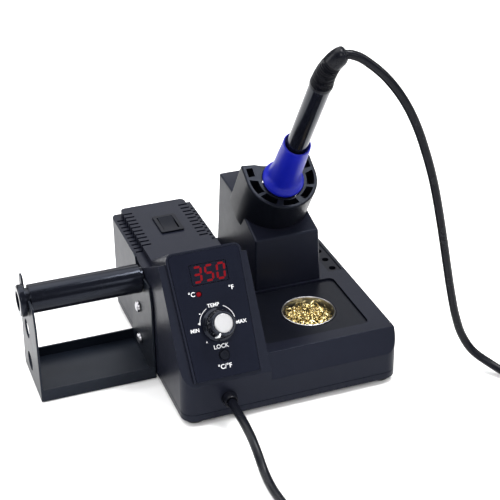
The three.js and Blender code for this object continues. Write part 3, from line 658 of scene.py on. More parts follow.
def bars_on_circle(name, slot):
    """Bars spread over part of a circle, each with its length pointing outwards."""
    graph, ins = new_tree(name, [
        ("Count", "NodeSocketInt", 12), ("Radius", "NodeSocketFloat", 10.0),
        ("Bar", "NodeSocketVector", (1, 1, 1)), ("First", "NodeSocketFloat", 0.0),
        ("Sweep", "NodeSocketFloat", 2 * math.pi)])
    line = graph.node("GeometryNodeMeshLine", inputs={"Count": ins["Count"], "Offset": (0, 0, 0)})
    index = graph.node("GeometryNodeInputIndex")
    angle = ins["First"] + ins["Sweep"] * index / ins["Count"]
    cosine = graph.node("ShaderNodeMath", {"operation": "COSINE"}, {0: angle})
    sine = graph.node("ShaderNodeMath", {"operation": "SINE"}, {0: angle})
    spot = graph.node("ShaderNodeCombineXYZ", inputs={0: cosine * ins["Radius"], 1: sine * ins["Radius"]})
    spread = graph.node("GeometryNodeSetPosition", inputs={"Geometry": line, "Position": spot})
    turn = graph.node("ShaderNodeCombineXYZ", inputs={2: angle})
    bar = graph.node("GeometryNodeMeshCube", inputs={"Size": ins["Bar"]})
    placed = graph.node("GeometryNodeInstanceOnPoints", inputs={
        "Points": spread, "Instance": bar, "Rotation": turn})
    return close_tree(graph, placed, slot)


def text_mesh(words, height):
    """Flat lettering centred on its origin, as a bmesh."""
    curve = bpy.data.curves.new("lettering", "FONT")
    curve.body = words
    curve.size = height * 1.38
    curve.align_x = "CENTER"
    curve.align_y = "CENTER"
    curve.extrude = 0.02
    curve.offset = 0.05
    curve.resolution_u = 3
    spare = bpy.data.objects.new("lettering", curve)
    bpy.context.collection.objects.link(spare)
    evaluated = spare.evaluated_get(bpy.context.evaluated_depsgraph_get())
    mesh = bpy.data.meshes.new_from_object(evaluated)
    bm = bmesh.new()
    bm.from_mesh(mesh)
    bpy.data.objects.remove(spare)
    bpy.data.curves.remove(curve)
    bpy.data.meshes.remove(mesh)
    return bm


def slot_of(node):
    return next(part["material_slot"] for part in FRAME["record"]["subparts"] if part["node"] == node)


def paint(node):
    """Gives a CAD node that stays as it is its procedural material."""
    thing = FRAME["nodes"][node]
    thing.data.materials.clear()
    thing.data.materials.append(material(slot_of(node)))


# ---------------------------------------------------------------- shapes that several pieces share
CASE_BOX = (0, CASE_WIDE, 0, CASE_DEEP)
CASE_PLAN = rounded_rect(*CASE_BOX, CASE_CORNER, 10)


def widened(plan, margin):
    x0, x1, y0, y1 = plan
    return x0 - margin, x1 + margin, y0 - margin, y1 + margin


def inset(points, amount):
    """Moves every side of a counter-clockwise outline inwards."""
    sides = []
    for i, start in enumerate(points):
        run = (Vector(points[(i + 1) % len(points)]) - Vector(start)).normalized()
        inward = Vector((-run.y, run.x))
        sides.append((inward, inward.dot(Vector(start)) + amount))
    moved = []
    for i, (inward, level) in enumerate(sides):
        before, low = sides[i - 1]
        scale = before.x * inward.y - before.y * inward.x
        moved.append(((low * inward.y - level * before.y) / scale,
                      (before.x * level - inward.x * low) / scale))
    return moved


def rounded(points, radii, steps=6):
    """Outline whose corners are replaced by arcs of the given radii."""
    outline = []
    for i, (point, radius) in enumerate(zip(points, radii)):
        corner = Vector(point)
        back = (Vector(points[i - 1]) - corner).normalized()
        ahead = (Vector(points[(i + 1) % len(points)]) - corner).normalized()
        if not radius:
            outline.append(tuple(corner))
            continue
        half = back.angle(ahead) / 2
        centre = corner + (back + ahead).normalized() * (radius / math.sin(half))
        first = corner + back * (radius / math.tan(half)) - centre
        last = corner + ahead * (radius / math.tan(half)) - centre
        for k in range(steps + 1):
            spoke = first.lerp(last, k / steps).normalized() * radius
            outline.append(tuple(centre + spoke))
    return outline


def swept(points, radii, sides=12):
    """Closed tube whose rings stand square to the path through the points."""
    bm = bmesh.new()
    spots = [Vector(p) for p in points]
    rings = []
    across = None
    for i, spot in enumerate(spots):
        along = (spots[min(i + 1, len(spots) - 1)] - spots[max(i - 1, 0)]).normalized()
        if across is None:
            across = along.orthogonal().normalized()
        across = (across - along * across.dot(along)).normalized()
        other = along.cross(across)
        radius = radii[i]
        turns = [2 * math.pi * k / sides for k in range(sides)]
        spokes = [across * math.cos(turn) + other * math.sin(turn) for turn in turns]
        rings.append([bm.verts.new(spot + spoke * radius) for spoke in spokes])
    for low, high in zip(rings, rings[1:]):
        for i in range(sides):
            j = (i + 1) % sides
            bm.faces.new((low[i], low[j], high[j], high[i]))
    bm.faces.new(list(reversed(rings[0])))
    bm.faces.new(rings[-1])
    bmesh.ops.recalc_face_normals(bm, faces=bm.faces)
    return bm


def route(points, step):
    """Even steps along a centripetal curve through the points."""
    spots = [Vector(p) for p in points]
    spots = [2 * spots[0] - spots[1], *spots, 2 * spots[-1] - spots[-2]]
    fine = []
    for before, start, end, after in zip(spots, spots[1:], spots[2:], spots[3:]):
        lead, gap, tail = ((b - a).length ** 0.5 for a, b in ((before, start), (start, end), (end, after)))
        leave = ((start - before) / lead - (end - before) / (lead + gap) + (end - start) / gap) * gap
        arrive = ((end - start) / gap - (after - start) / (gap + tail) + (after - end) / tail) * gap
        for k in range(20):
            t = k / 20
            fine.append(start * (2 * t ** 3 - 3 * t ** 2 + 1) + leave * (t ** 3 - 2 * t ** 2 + t)
                        + end * (3 * t ** 2 - 2 * t ** 3) + arrive * (t ** 3 - t ** 2))
    fine.append(spots[-2])
    runs = [0.0]
    for a, b in zip(fine, fine[1:]):
        runs.append(runs[-1] + (b - a).length)
    count = max(2, round(runs[-1] / step))
    even, at = [], 0
    for k in range(count + 1):
        goal = runs[-1] * k / count
        while at < len(runs) - 2 and runs[at + 1] < goal:
            at += 1
        share = (goal - runs[at]) / max(1e-9, runs[at + 1] - runs[at])
        even.append(fine[at].lerp(fine[at + 1], share))
    return even


def bars_in_line(name, slot):
    """Bars a pitch apart, and the same row again on the other side of a middle line."""
    graph, ins = new_tree(name, [
        ("Count", "NodeSocketInt", 10), ("Pitch", "NodeSocketFloat", 5.0),
        ("Bar", "NodeSocketVector", (1, 1, 1)), ("Start", "NodeSocketVector", (0, 0, 0)),
        ("Other row", "NodeSocketVector", (0, 0, 0))])
    step = graph.node("ShaderNodeCombineXYZ", inputs={1: ins["Pitch"]})
    line = graph.node("GeometryNodeMeshLine", inputs={"Count": ins["Count"], "Start Location": ins["Start"],
                                                      "Offset": step})
    other = graph.node("GeometryNodeTransform", inputs={"Geometry": line, "Translation": ins["Other row"]})
    both = graph.tree.nodes.new("GeometryNodeJoinGeometry")
    graph.feed(both.inputs[0], other)
    graph.feed(both.inputs[0], line)
    bar = graph.node("GeometryNodeMeshCube", inputs={"Size": ins["Bar"]})
    placed = graph.node("GeometryNodeInstanceOnPoints", inputs={"Points": Wire(graph, both.outputs[0]),
                                                                "Instance": bar})
    return close_tree(graph, placed, slot)


def curled_shavings(slot):
    """Flat spiral strips scattered over a surface, each turned and sized at random."""
    graph, ins = new_tree("curled shavings", [
        ("Density", "NodeSocketFloat", 1.0), ("Seed", "NodeSocketInt", 7), ("Width", "NodeSocketFloat", 0.8),
        ("Thickness", "NodeSocketFloat", 0.12), ("Radius", "NodeSocketFloat", 2.4)])
    points = graph.node("GeometryNodeDistributePointsOnFaces", inputs={
        "Mesh": ins["Geometry"], "Density": ins["Density"], "Seed": ins["Seed"]})
    spiral = graph.node("GeometryNodeCurveSpiral", inputs={
        "Resolution": 12, "Rotations": 1.15, "Start Radius": ins["Radius"] * 0.7, "End Radius": ins["Radius"],
        "Height": ins["Radius"] * 0.9})
    section = graph.node("GeometryNodeCurvePrimitiveQuadrilateral", inputs={
        "Width": ins["Thickness"], "Height": ins["Width"]})
    strip = graph.node("GeometryNodeCurveToMesh", inputs={
        "Curve": spiral, "Profile Curve": section, "Fill Caps": True})
    turn = graph.node("FunctionNodeRandomValue", {"data_type": "FLOAT_VECTOR"},
                      {"Max": (6.283, 6.283, 6.283), "Seed": ins["Seed"]})
    grow = graph.tree.nodes.new("FunctionNodeRandomValue")
    grow.data_type = "FLOAT"
    grow.inputs[2].default_value = 0.55
    grow.inputs[3].default_value = 1.25
    graph.feed(grow.inputs[8], ins["Seed"])
    placed = graph.node("GeometryNodeInstanceOnPoints", inputs={
        "Points": points, "Instance": strip, "Rotation": turn, "Scale": Wire(graph, grow.outputs[1])})
    return close_tree(graph, placed, slot)


def stand_for(node, bm, place, name, slot, smooth=32):
    """Keeps a bmesh as the finished piece of a CAD node, on that node's body."""
    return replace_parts(keep(bm, place, name, BODY_OF[node], slot, smooth), node)


def finished(node, width, name=None, segments=2, smooth=32):
    """Replaces a CAD node by its own shape with worked edges and its finish."""
    shape = softened_copy(node, BODY, width, segments)
    return stand_for(node, shape, BODY, name or f"{node}_finished", slot_of(node), smooth)


def panel_outline(grow=0.0):
    """Tapered label plate with rounded upper corners."""
    low, high, top = PANEL_LOW + grow, PANEL_HIGH + grow, PANEL_LONG + grow
    return rounded([(-low, -grow), (low, -grow), (high, top), (-high, top)], (0.8, 0.8, 3 + grow, 3 + grow))


# ---------------------------------------------------------------- stage
class STATION_OT_stage(bpy.types.Operator):
    """Sets the camera, the studio lights and the pale floor"""
    bl_idname = "station.stage"
    bl_label = "Stage"

    def hang(self, context, lamp, spot, way):
        """Hangs a light at a spot and turns it to shine along a direction."""
        holder = bpy.data.objects.new(lamp.name, lamp)
        facing = Vector(way).to_track_quat("-Z", "Y").to_matrix().to_4x4()
        holder.matrix_world = Matrix.Translation(spot) @ facing
        context.collection.objects.link(holder)

    def execute(self, context):
        azimuth, elevation, roll = (math.radians(angle) for angle in CAMERA_TURN)
        back = Vector((-math.sin(azimuth) * math.cos(elevation), -math.cos(azimuth) * math.cos(elevation),
                       math.sin(elevation)))
        right = Vector((math.cos(azimuth), -math.sin(azimuth), 0))
        up = back.cross(right)
        level = right * math.cos(roll) + up * math.sin(roll)
        upright = up * math.cos(roll) - right * math.sin(roll)
        view = bpy.data.cameras.new("camera")
        view.lens = CAMERA_LENS
        view.clip_start = 0.01
        view.clip_end = 200
        camera = bpy.data.objects.new("camera", view)
        camera.matrix_world = (Matrix.Translation(BODY @ Vector(CAMERA_SPOT))
                               @ Matrix((level, upright, back)).transposed().to_4x4())
        context.collection.objects.link(camera)
        context.scene.camera = camera

        floor = bpy.data.meshes.new("floor")
        corners = [(x * FLOOR_REACH, y * FLOOR_REACH, 0) for x, y in ((-1, -1), (1, -1), (1, 1), (-1, 1))]
        floor.from_pydata(corners, [], [(0, 1, 2, 3)])
        floor.materials.append(bench("white bench"))
        ground = bpy.data.objects.new("floor", floor)
        context.collection.objects.link(ground)

        world = context.scene.world or bpy.data.worlds.new("studio")
        context.scene.world = world
        world.use_nodes = True
        sky = world.node_tree.nodes["Background"]
        sky.inputs["Color"].default_value = (1, 1, 1, 1)
        sky.inputs["Strength"].default_value = SKY
        context.scene.view_settings.view_transform = "Standard"
        sun = bpy.data.lights.new("overhead diffuser", "SUN")
        sun.energy = SUN_POWER
        sun.angle = math.radians(SUN_SPREAD)
        self.hang(context, sun, (0, 0, 0), SUN_AIM)
        for name, spot, aim, size, power in LAMPS:
            lamp = bpy.data.lights.new(name, "AREA")
            lamp.shape = "RECTANGLE"
            lamp.size, lamp.size_y = size
            lamp.energy = power
            self.hang(context, lamp, spot, Vector(aim) - Vector(spot))
        return {"FINISHED"}


# ---------------------------------------------------------------- cord
class STATION_OT_cord(bpy.types.Operator):
    """Runs one cord from the gland through its coil and up into the iron's boot"""
    bl_idname = "station.cord"
    bl_label = "Cord"

    def execute(self, context):
        steps = round(COIL_TURNS * 16)
        first, last = GLAND_TO_COIL[-1][2], HANDLE_TO_COIL[-1][2]
        coil = []
        for k in range(1, steps):
            angle = math.pi + 2 * math.pi * COIL_TURNS * k / steps
            coil.append((COIL_X + COIL_RADIUS * math.cos(angle), COIL_Y + COIL_RADIUS * math.sin(angle),
                         first + (last - first) * k / steps))
        path = route([*GLAND_TO_COIL, *coil, *reversed(HANDLE_TO_COIL)], CORD_STEP)
        tube = swept(path, [CORD_RADIUS] * len(path), CORD_SIDES)
        cord = keep(tube, BODY, "flexible_cord", None, "black_rubber", 40)
        spots = [BODY @ spot for spot in path]
        length = sum((b - a).length for a, b in zip(spots, spots[1:]))
        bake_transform(cord)
        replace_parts(cord, "station_cord", "cord_coil", "floor_cord", "iron_cord")
        return {"FINISHED"}


# ---------------------------------------------------------------- case
class STATION_OT_housing(bpy.types.Operator):
    """Moulds the upper housing with its raised middle, vents and openings"""
    bl_idname = "station.housing"
    bl_label = "Upper housing"

    def middle(self, depth):
        """Raised middle, shrunk by a depth: straight over the plateau, flared like the panel at the front."""
        margin = 1.7 - depth
        low, high, back = PANEL_LOW + margin, PANEL_HIGH + margin, 24.4 - depth
        top, bend, roof_edge = 85.6 - depth, 88.5, 2
        face = rounded([(-low, 0), (low, 0), (high, top), (-high, top)], (0, 0, 4.5 - depth, 4.5 - depth))
        corners = [ON_PANEL @ Vector((x, y, -depth)) for x, y in face]
        shoulder = arc(back - roof_edge, PLATEAU - roof_edge - depth, roof_edge, 0, 90, 4)
        for side in (-1, 1):
            corners.append(Vector((PANEL_X + side * low, 40, PANEL_FOOT + depth)))
            corners.append(Vector((PANEL_X + side * back, bend, 45)))
            corners += [Vector((PANEL_X + side * x, bend, z)) for x, z in shoulder]
        nose = hull(corners)
        shelf = prism(rounded_rect(PANEL_X - back, PANEL_X + back, 81, 167.6 - depth, 4 - depth), 50,
                      PLATEAU - depth)
        return carve(nose, [("UNION", shelf)])

    def hollow(self):
        """Inside of the case: box, deck and raised middle, one wall in from the skin and open below."""
        spaces = []
        for side, start, end in ((BOX_SIDE, WALL, BOX_WIDE - WALL), (DECK_SIDE, 30, CASE_WIDE - WALL)):
            lowered = [(y, z if z > 5 + WALL else -20) for y, z in inset(side, WALL)]
            spaces.append(prism(lowered, start, end, ALONG_X))
        plan = prism(rounded_rect(*widened(CASE_BOX, -WALL), CASE_CORNER - WALL), -30, 120)
        box, deck = spaces
        return carve(box, [("UNION", deck), ("UNION", self.middle(WALL)), ("INTERSECT", plan)])

    def openings(self):
        """Ways through the wall for the display, controls, tray, tower, switch, inlet, gland and bracket."""
        ways = [slab(-14, 16.5, 60.5, 77.5, -8, 2, ON_PANEL)]
        for x, y, radius in ((0, KNOB_UP, 4.6), (0, BUTTON_UP, 4.6), (LAMP_X, LAMP_UP, 2.1)):
            ways.append(rod(radius, -8, 2, 32, ON_PANEL @ shifted(x, y, 0)))
        ways += [prism(rounded_rect(*widened(TRAY, GAP), TRAY_CORNER + GAP), 34, 45),
                 slab(142, 152.6, 92, 160, 34, 45), slab(*widened(SWITCH, GAP), 70, 90),
                 slab(PANEL_X - 14.2, PANEL_X + 14.2, 163, 176, 27.8, 48.2), rod(4.9, -5, 5, 32, AT_GLAND)]
        ways += [rod(2.3, -5, 5, 24, shifted(0, BRACKET_SCREW_Y, z) @ TO_LEFT) for z in BRACKET_SCREWS_UP]
        return ways

    def posts(self):
        """Screw posts: tall at the front and short at the rear, and the bores up through them."""
        posts, bores = [], []
        for x, y in SCREWS:
            start, end = (1, y + 4.5) if y < CASE_DEEP / 2 else (y - 4.5, 170)
            posts.append(slab(x - 4.5, x + 4.5, start, end, PARTING, 24))
            bores.append(rod(1.9, 0, 22, 16, shifted(x, y, 0)))
        return posts, bores

    def execute(self, context):
        edge = sizes().edge
        skins = []
        for side, start, end in ((BOX_SIDE, 0, BOX_WIDE), (DECK_SIDE, 30, CASE_WIDE)):
            solid = carve(prism(side, start, end, ALONG_X), [("INTERSECT", prism(CASE_PLAN, -5, 120))])
            skins.append(soften(solid, edge))
        box, deck = skins
        middle = soften(self.middle(0), edge * 0.8)
        vents = grown(bars_in_line("vent slots", "case_plastic"), {
            "Count": sizes().vents, "Pitch": 5.35, "Bar": (11.6, 1.9, 30),
            "Start": (PANEL_X - 23.4, 109.55, 75), "Other row": (46.8, 0, 0)})
        recess = prism(panel_outline(GAP), -1 - GAP, 6, ON_PANEL)
        posts, bores = self.posts()
        shell = carve(box, [("UNION", deck), ("UNION", middle), ("INTERSECT", prism(CASE_PLAN, PARTING, 120)),
                            ("DIFFERENCE", self.hollow())]
                      + [("UNION", post) for post in posts]
                      + [("DIFFERENCE", tool) for tool in (*bores, recess, *self.openings(), vents)])
        stand_for("upper_housing", shell, BODY, "housing_moulding", "case_plastic")
        return {"FINISHED"}


class STATION_OT_base(bpy.types.Operator):
    """Moulds the base plate and sets its feet and screws"""
    bl_idname = "station.base"
    bl_label = "Base plate, feet and screws"

    def execute(self, context):
        plate = soften(prism(CASE_PLAN, CASE_FLOOR, PARTING - GAP), sizes().small_edge)
        inside = rounded_rect(*widened(CASE_BOX, -WALL), 7)
        steps = [("DIFFERENCE", prism(inside, CASE_FLOOR + WALL, 20))]
        for x, y in SCREWS:
            steps += [("DIFFERENCE", rod(1.9, 0, 12, 20, shifted(x, y, 0))),
                      ("DIFFERENCE", rod(3.6, 0, 5, 24, shifted(x, y, 0)))]
        steps += [("DIFFERENCE", rod(2.4, 0, 12, 20, shifted(x, y, 0))) for x, y in FEET]
        stand_for("base_plate", carve(plate, steps), BODY, "base_moulding", "case_plastic")
        pad = [(0, 0.2), (3, 0.2), (3.6, 0), (5.2, 0), (5.9, 0.3), (6.9, 1.2), (7.3, 2.4), (7.4, 3.7)]
        stem = [(2, 3.7), (2, 7.2), (1.8, 7.4), (0, 7.4)]
        for (x, y), corner in zip(FEET, CORNERS):
            foot = turned(pad + stem, 40, shifted(x, y, 0))
            stand_for(f"foot_{corner}", foot, BODY, f"rubber_foot_{corner}", "black_rubber")
        for corner in CORNERS:
            finished(f"case_screw_{corner}", 0.25)
        return {"FINISHED"}


# ---------------------------------------------------------------- control panel
class STATION_OT_panel(bpy.types.Operator):
    """Makes the label plate with its printing, lit digits, lamp, window and button"""
    bl_idname = "station.panel"
    bl_label = "Control panel"

    def legends(self):
        """Words, dial arc, arrow and dots, as one sheet of ink."""
        ink = []
        height = sizes().legend
        for words, x, y, share in (
                ("TEMP", -0.7, 47.5, 0.8), ("MIN", -16.2, 33.2, 0.8), ("MAX", 15.8, 33.5, 0.8),
                ("LOCK", -1, 20.2, 0.9), ("°C", -13.6, 56.6, 1), ("°F", 13.8, 56.7, 1),
                ("°C/°F", -1.1, 6.9, 1)):
            lettering = text_mesh(words, height * share)
            lettering.transform(shifted(x, y, PLATE_FACE + 0.02))
            ink.append(lettering)
        film = (PLATE_FACE, PLATE_FACE + 0.04)
        for start, end in ((172, 118), (62, 10)):
            outer, inner = arc(0, 35.3, 12.4, start, end, 14), arc(0, 35.3, 12.05, end, start, 14)
            ink.append(prism(outer + inner, *film))
        arrow = [(-13.5, 37.4), (-11.9, 36.2), (-11.5, 38.3)]
        ink.append(prism(arrow, *film))
        ink += [rod(0.45, *film, 16, shifted(x, y, 0)) for x, y in ((-10.8, 43.5), (-9.9, 24.6))]
        return merged(*ink)

    def digits(self):
        """Three slanted digits of up to seven pointed bars each."""
        level_bars = {"a": 1, "g": 0.5, "d": 0}
        upright_bars = {"b": (1, 0.5), "c": (1, 0), "e": (0, 0), "f": (0, 0.5)}
        wide, tall, thick, pitch, lean = 4.9, 9.8, 1.45, 8.1, 0.1
        x_middle, y_middle = 1.2, 69
        gap, point = 0.35, 0.9
        glowing = []
        for place, lit_bars in enumerate(("abcdg", "acdfg", "abcdef")):
            foot = Vector((x_middle + (place - 1) * pitch - wide / 2, y_middle - tall / 2))
            for bar in lit_bars:
                if bar in level_bars:
                    across, level, along, long = 0, level_bars[bar], Vector((1, 0)), wide
                else:
                    across, level = upright_bars[bar]
                    along, long = Vector((0, 1)), tall / 2
                start = foot + Vector((across * wide, level * tall))
                side = Vector((-along.y, along.x)) * thick / 2
                ends = (start + along * gap, start + along * (long - gap))
                shoulders = (start + along * point, start + along * (long - point))
                outline = (ends[0], shoulders[0] - side, shoulders[1] - side, ends[1], shoulders[1] + side,
                           shoulders[0] + side)
                slanted = [(corner.x + (corner.y - y_middle) * lean, corner.y) for corner in outline]
                glowing.append(prism(slanted, 0.08, 0.14))
        return merged(*glowing)

    def execute(self, context):
        plate = prism(panel_outline(), -1, PLATE_FACE)
        steps = [("DIFFERENCE", slab(*widened(WINDOW, GAP), -5, 5))]
        steps += [("DIFFERENCE", rod(radius, -5, 5, 40, shifted(x, y, 0)))
                  for x, y, radius in ((0, KNOB_UP, 4.6), (0, BUTTON_UP, 3.7), (LAMP_X, LAMP_UP, 1.9))]
        plate = soften(carve(plate, steps), 0.2, 2)
        stand_for("front_panel", plate, PANEL, "label_plate", "panel_plastic")
        keep(self.legends(), PANEL, "panel_printing", "station", "ceramic")
        keep(self.digits(), PANEL, "lit_digits", "station", "red_lamp")
        window = soften(slab(*WINDOW, -1, 0.08), 0.15, 2)
        stand_for("display_window", window, PANEL, "display_filter", "smoked_window")
        lens = [(0, -12), (1.5, -12), (1.5, -0.4), (1.35, -0.05), (1, 0.15), (0.5, 0.26), (0, 0.3)]
        lamp = turned(lens, 28, shifted(LAMP_X, LAMP_UP, 0))
        stand_for("unit_led", lamp, PANEL, "indicator_lamp", "red_lamp", 60)
        dished = [(0, -6.2), (4.2, -6.2), (4.2, -4.6), (3.4, -4.6), (3.4, 0.8), (3.2, 1.1), (2.8, 1.3),
                  (1.6, 1.16), (0, 1.1)]
        cap = turned(dished, 40, shifted(0, BUTTON_UP, 0))
        stand_for("unit_button", cap, PANEL, "button_cap", "black_plastic", 40)
        for node in ("tact_switch", "display_module", "control_board"):
            paint(node)
        return {"FINISHED"}


class STATION_OT_knob(bpy.types.Operator):
    """Turns the temperature knob with its grip ribs, pointer and bright cap"""
    bl_idname = "station.knob"
    bl_label = "Knob"

    def execute(self, context):
        seat = PANEL @ shifted(0, KNOB_UP, 0)
        skirt = [(0, 3.4), (7.4, 3.4), (7.4, 1.2), (10.9, 1.2), (11.2, 1.5), (11.2, 2.7), (10.9, 3.1),
                 (9.7, 3.9)]
        grip = [(9.25, 4.7), (8.65, 12.7), (8.35, 13.3), (7.6, 13.8), (6.9, 13.8), (6.6, 13.6), (6.6, 12.4),
                (0, 12.4)]
        body = turned(skirt + grip, 72)
        bore = rod(3.3, 0, 10, 32)
        ribs = grown(bars_on_circle("knob ribs", "gloss_black"), {
            "Count": sizes().flutes, "Radius": 8.75, "Bar": (0.9, 0.9, 7.6)})
        middle_of_grip = 8.8
        ribs.transform(shifted(0, 0, middle_of_grip))
        ribs = soften(ribs, 0.25, 2)
        knob = carve(body, [("UNION", ribs), ("DIFFERENCE", bore)])
        stand_for("control_knob", knob, seat, "knob_moulding", "gloss_black")
        pointer = soften(slab(-0.55, 0.55, -9.8, -6.9, 4.9, 14.05), 0.2, 2)
        keep(pointer, seat @ about("Z", -30), "knob_pointer", "knob", "ceramic")
        cap = turned([(0, 12.7), (6.2, 12.7), (6.3, 12.85), (6.3, 13.8), (6.15, 14.15), (5.8, 14.35),
                      (5.3, 14.4), (4.9, 14.3), (0, 14.25)], 72)
        stand_for("knob_cap", cap, seat, "bright_cap", "aluminium", 40)
        for node in ("knob_shaft", "pot_nut"):
            finished(node, 0.2)
        paint("potentiometer")
        return {"FINISHED"}


class STATION_OT_switch(bpy.types.Operator):
    """Makes the power switch and its bezel"""
    bl_idname = "station.switch"
    bl_label = "Power switch"

    def execute(self, context):
        bezel = soften(prism(rounded_rect(24.6, 41.6, 120.4, 145.4, 1.2), 80.3, 81.3), 0.35, 2)
        sleeve = slab(*SWITCH, 66, 81)
        well = slab(*widened(SWITCH, -1), 60, 85)
        bezel = carve(bezel, [("UNION", sleeve), ("DIFFERENCE", well)])
        stand_for("switch_bezel", bezel, BODY, "switch_frame", "black_plastic")
        finished("power_rocker", sizes().small_edge, "switch_rocker", 3)
        return {"FINISHED"}


# ---------------------------------------------------------------- deck
class STATION_OT_cleaner(bpy.types.Operator):
    """Makes the deck tray, the cleaner's cup and its brass shavings"""
    bl_idname = "station.cleaner"
    bl_label = "Tip cleaner"

    def execute(self, context):
        centre = shifted(CUP_X, CUP_Y, 0)
        tray = prism(rounded_rect(*TRAY, TRAY_CORNER), 36.3, 38.3)
        tray = soften(carve(tray, [("DIFFERENCE", rod(19.3, 0, 60, 72, centre))]), 0.4)
        stand_for("cleaner_tray", tray, BODY, "deck_tray", "black_plastic")
        outside = [(0, 12.6), (16, 12.6), (18, 14.6), (18.9, 38), (19, 38.6), (18.8, 38.9), (18.5, 39)]
        inside = [(18.2, 38.8), (18, 38.2), (17.2, 15.2), (15.6, 13.5), (0, 13.5)]
        cup = turned(outside + inside, 72, centre)
        stand_for("cleaner_cup", cup, BODY, "cleaner_beaker", "steel", 50)
        mound = [(0, 13.9), (14, 13.9), (15.8, 17), (16.2, 27), (15.2, 28.6), (11.5, 30), (6, 30.6),
                 (0, 30.9)]
        upper = turned([(0, 35), (6, 34.7), (11.5, 33.9), (15, 32.8)], 40)
        lower = turned([(0, 31.8), (6, 31.5), (11.5, 30.8), (15.4, 29.8)], 40)
        spread = merged(upper, lower)
        area = sum(face.calc_area() for face in spread.faces)
        curls = grown(curled_shavings("brass"), {
            "Density": sizes().curls / area, "Seed": 7, "Width": 0.6, "Thickness": 0.1,
            "Radius": 3.6}, spread)
        reach, ceiling = 17.4, 39.8
        for vertex in curls.verts:
            pull = min(1, reach / max(GAP, vertex.co.xy.length))
            vertex.co = (vertex.co.x * pull, vertex.co.y * pull, min(vertex.co.z, ceiling))
        wool = merged(turned(mound, 48), curls)
        stand_for("brass_wool", wool, BODY @ centre, "brass_shavings", "brass", 50)
        finished("tip_strip", 0.3)
        return {"FINISHED"}


# ---------------------------------------------------------------- holder
def tower_solid(inward=0.0, foot=30.0):
    """Tower with leaning sides and a sloping top, a wall's thickness inwards for its hollow."""
    corners = []
    for lean, y, z in (
            (0, 85.4 + inward, foot), (0, 168.5 - inward, foot), (1.5, 87.9 + inward, 79.2 - inward),
            (2.1, 139, 95 - inward), (2.1, 166.1 - inward, 96.5 - inward)):
        corners += [(81.8 + lean + inward, y, z), (133 - lean - inward, y, z)]
    return hull(corners)


class STATION_OT_holder(bpy.types.Operator):
    """Makes the holder's tower, its windowed collar and the metal liner"""
    bl_idname = "station.holder"
    bl_label = "Iron holder"

    def horseshoe(self, inward):
        """Half circle at the front, straight cheeks and a notched rear edge."""
        radius, back = 26 - inward, 17 - inward
        outline = arc(0, 3, radius, 180, 360, 32)
        right, deepest, left = (radius * 0.62, back - 1), (0, back - 8), (-radius * 0.62, back - 1)
        outline.append((radius, back))
        for k in range(9):
            t = k / 8
            outline.append(tuple(a * (1 - t) ** 2 + b * 2 * t * (1 - t) + c * t ** 2
                                 for a, b, c in zip(right, deepest, left)))
        outline.append((-radius, back))
        return outline

    def window(self, angle):
        """One of the vents round the collar, centred on an angle."""
        outer = arc(0, 3, 23.6, angle - 15, angle + 15, 10)
        inner = arc(0, 1.2, 17.6, angle + 15, angle - 15, 10)
        return prism(outer + inner, -15, 10)

    def execute(self, context):
        tower = soften(tower_solid(), 1.5, 3)
        mouth = rod(15.2, -60, 20, 56, ON_REST)
        tower = carve(tower, [("INTERSECT", slab(60, 150, 60, 190, 40, 130)),
                              ("DIFFERENCE", tower_solid(WALL, 20)), ("DIFFERENCE", mouth)])
        stand_for("holder_tower", tower, BODY, "tower_moulding", "case_plastic")

        collar = soften(prism(self.horseshoe(0), -60, -2), 1.1, 3, 40)
        seat = turned([(0, -90), (13.3, -90), (13.3, -10), (13.5, -9.4), (15.2, -7), (15.2, 10), (0, 10)], 64)
        steps = [("INTERSECT", slab(-40, 40, -40, 40, -48, 10)),
                 ("DIFFERENCE", prism(self.horseshoe(WALL), -70, -18)), ("DIFFERENCE", seat)]
        steps += [("DIFFERENCE", self.window(angle)) for angle in (192, 228, 270, 312, 348)]
        steps += [("DIFFERENCE", slab(low, low + 4.8, 6.4, 13.4, -15, 10)) for low in (-23.4, 18.6)]
        collar = carve(collar, steps)
        collar.transform(ON_REST)
        roof = tower_solid()
        roof.transform(shifted(0, 0, GAP))
        collar = carve(collar, [("DIFFERENCE", roof), ("DIFFERENCE", slab(0, 200, 60, 240, -100, 59.7)),
                                ("DIFFERENCE", slab(60, 160, 146, 240, 0, 300))])
        stand_for("rest_collar", collar, BODY, "collar_moulding", "black_plastic")
        liner = turned([(11.6, -66), (12.4, -66), (12.9, -13), (12.1, -13), (11.6, -66)], 64)
        stand_for("rest_liner", liner, REST, "holder_liner", "steel")
        return {"FINISHED"}


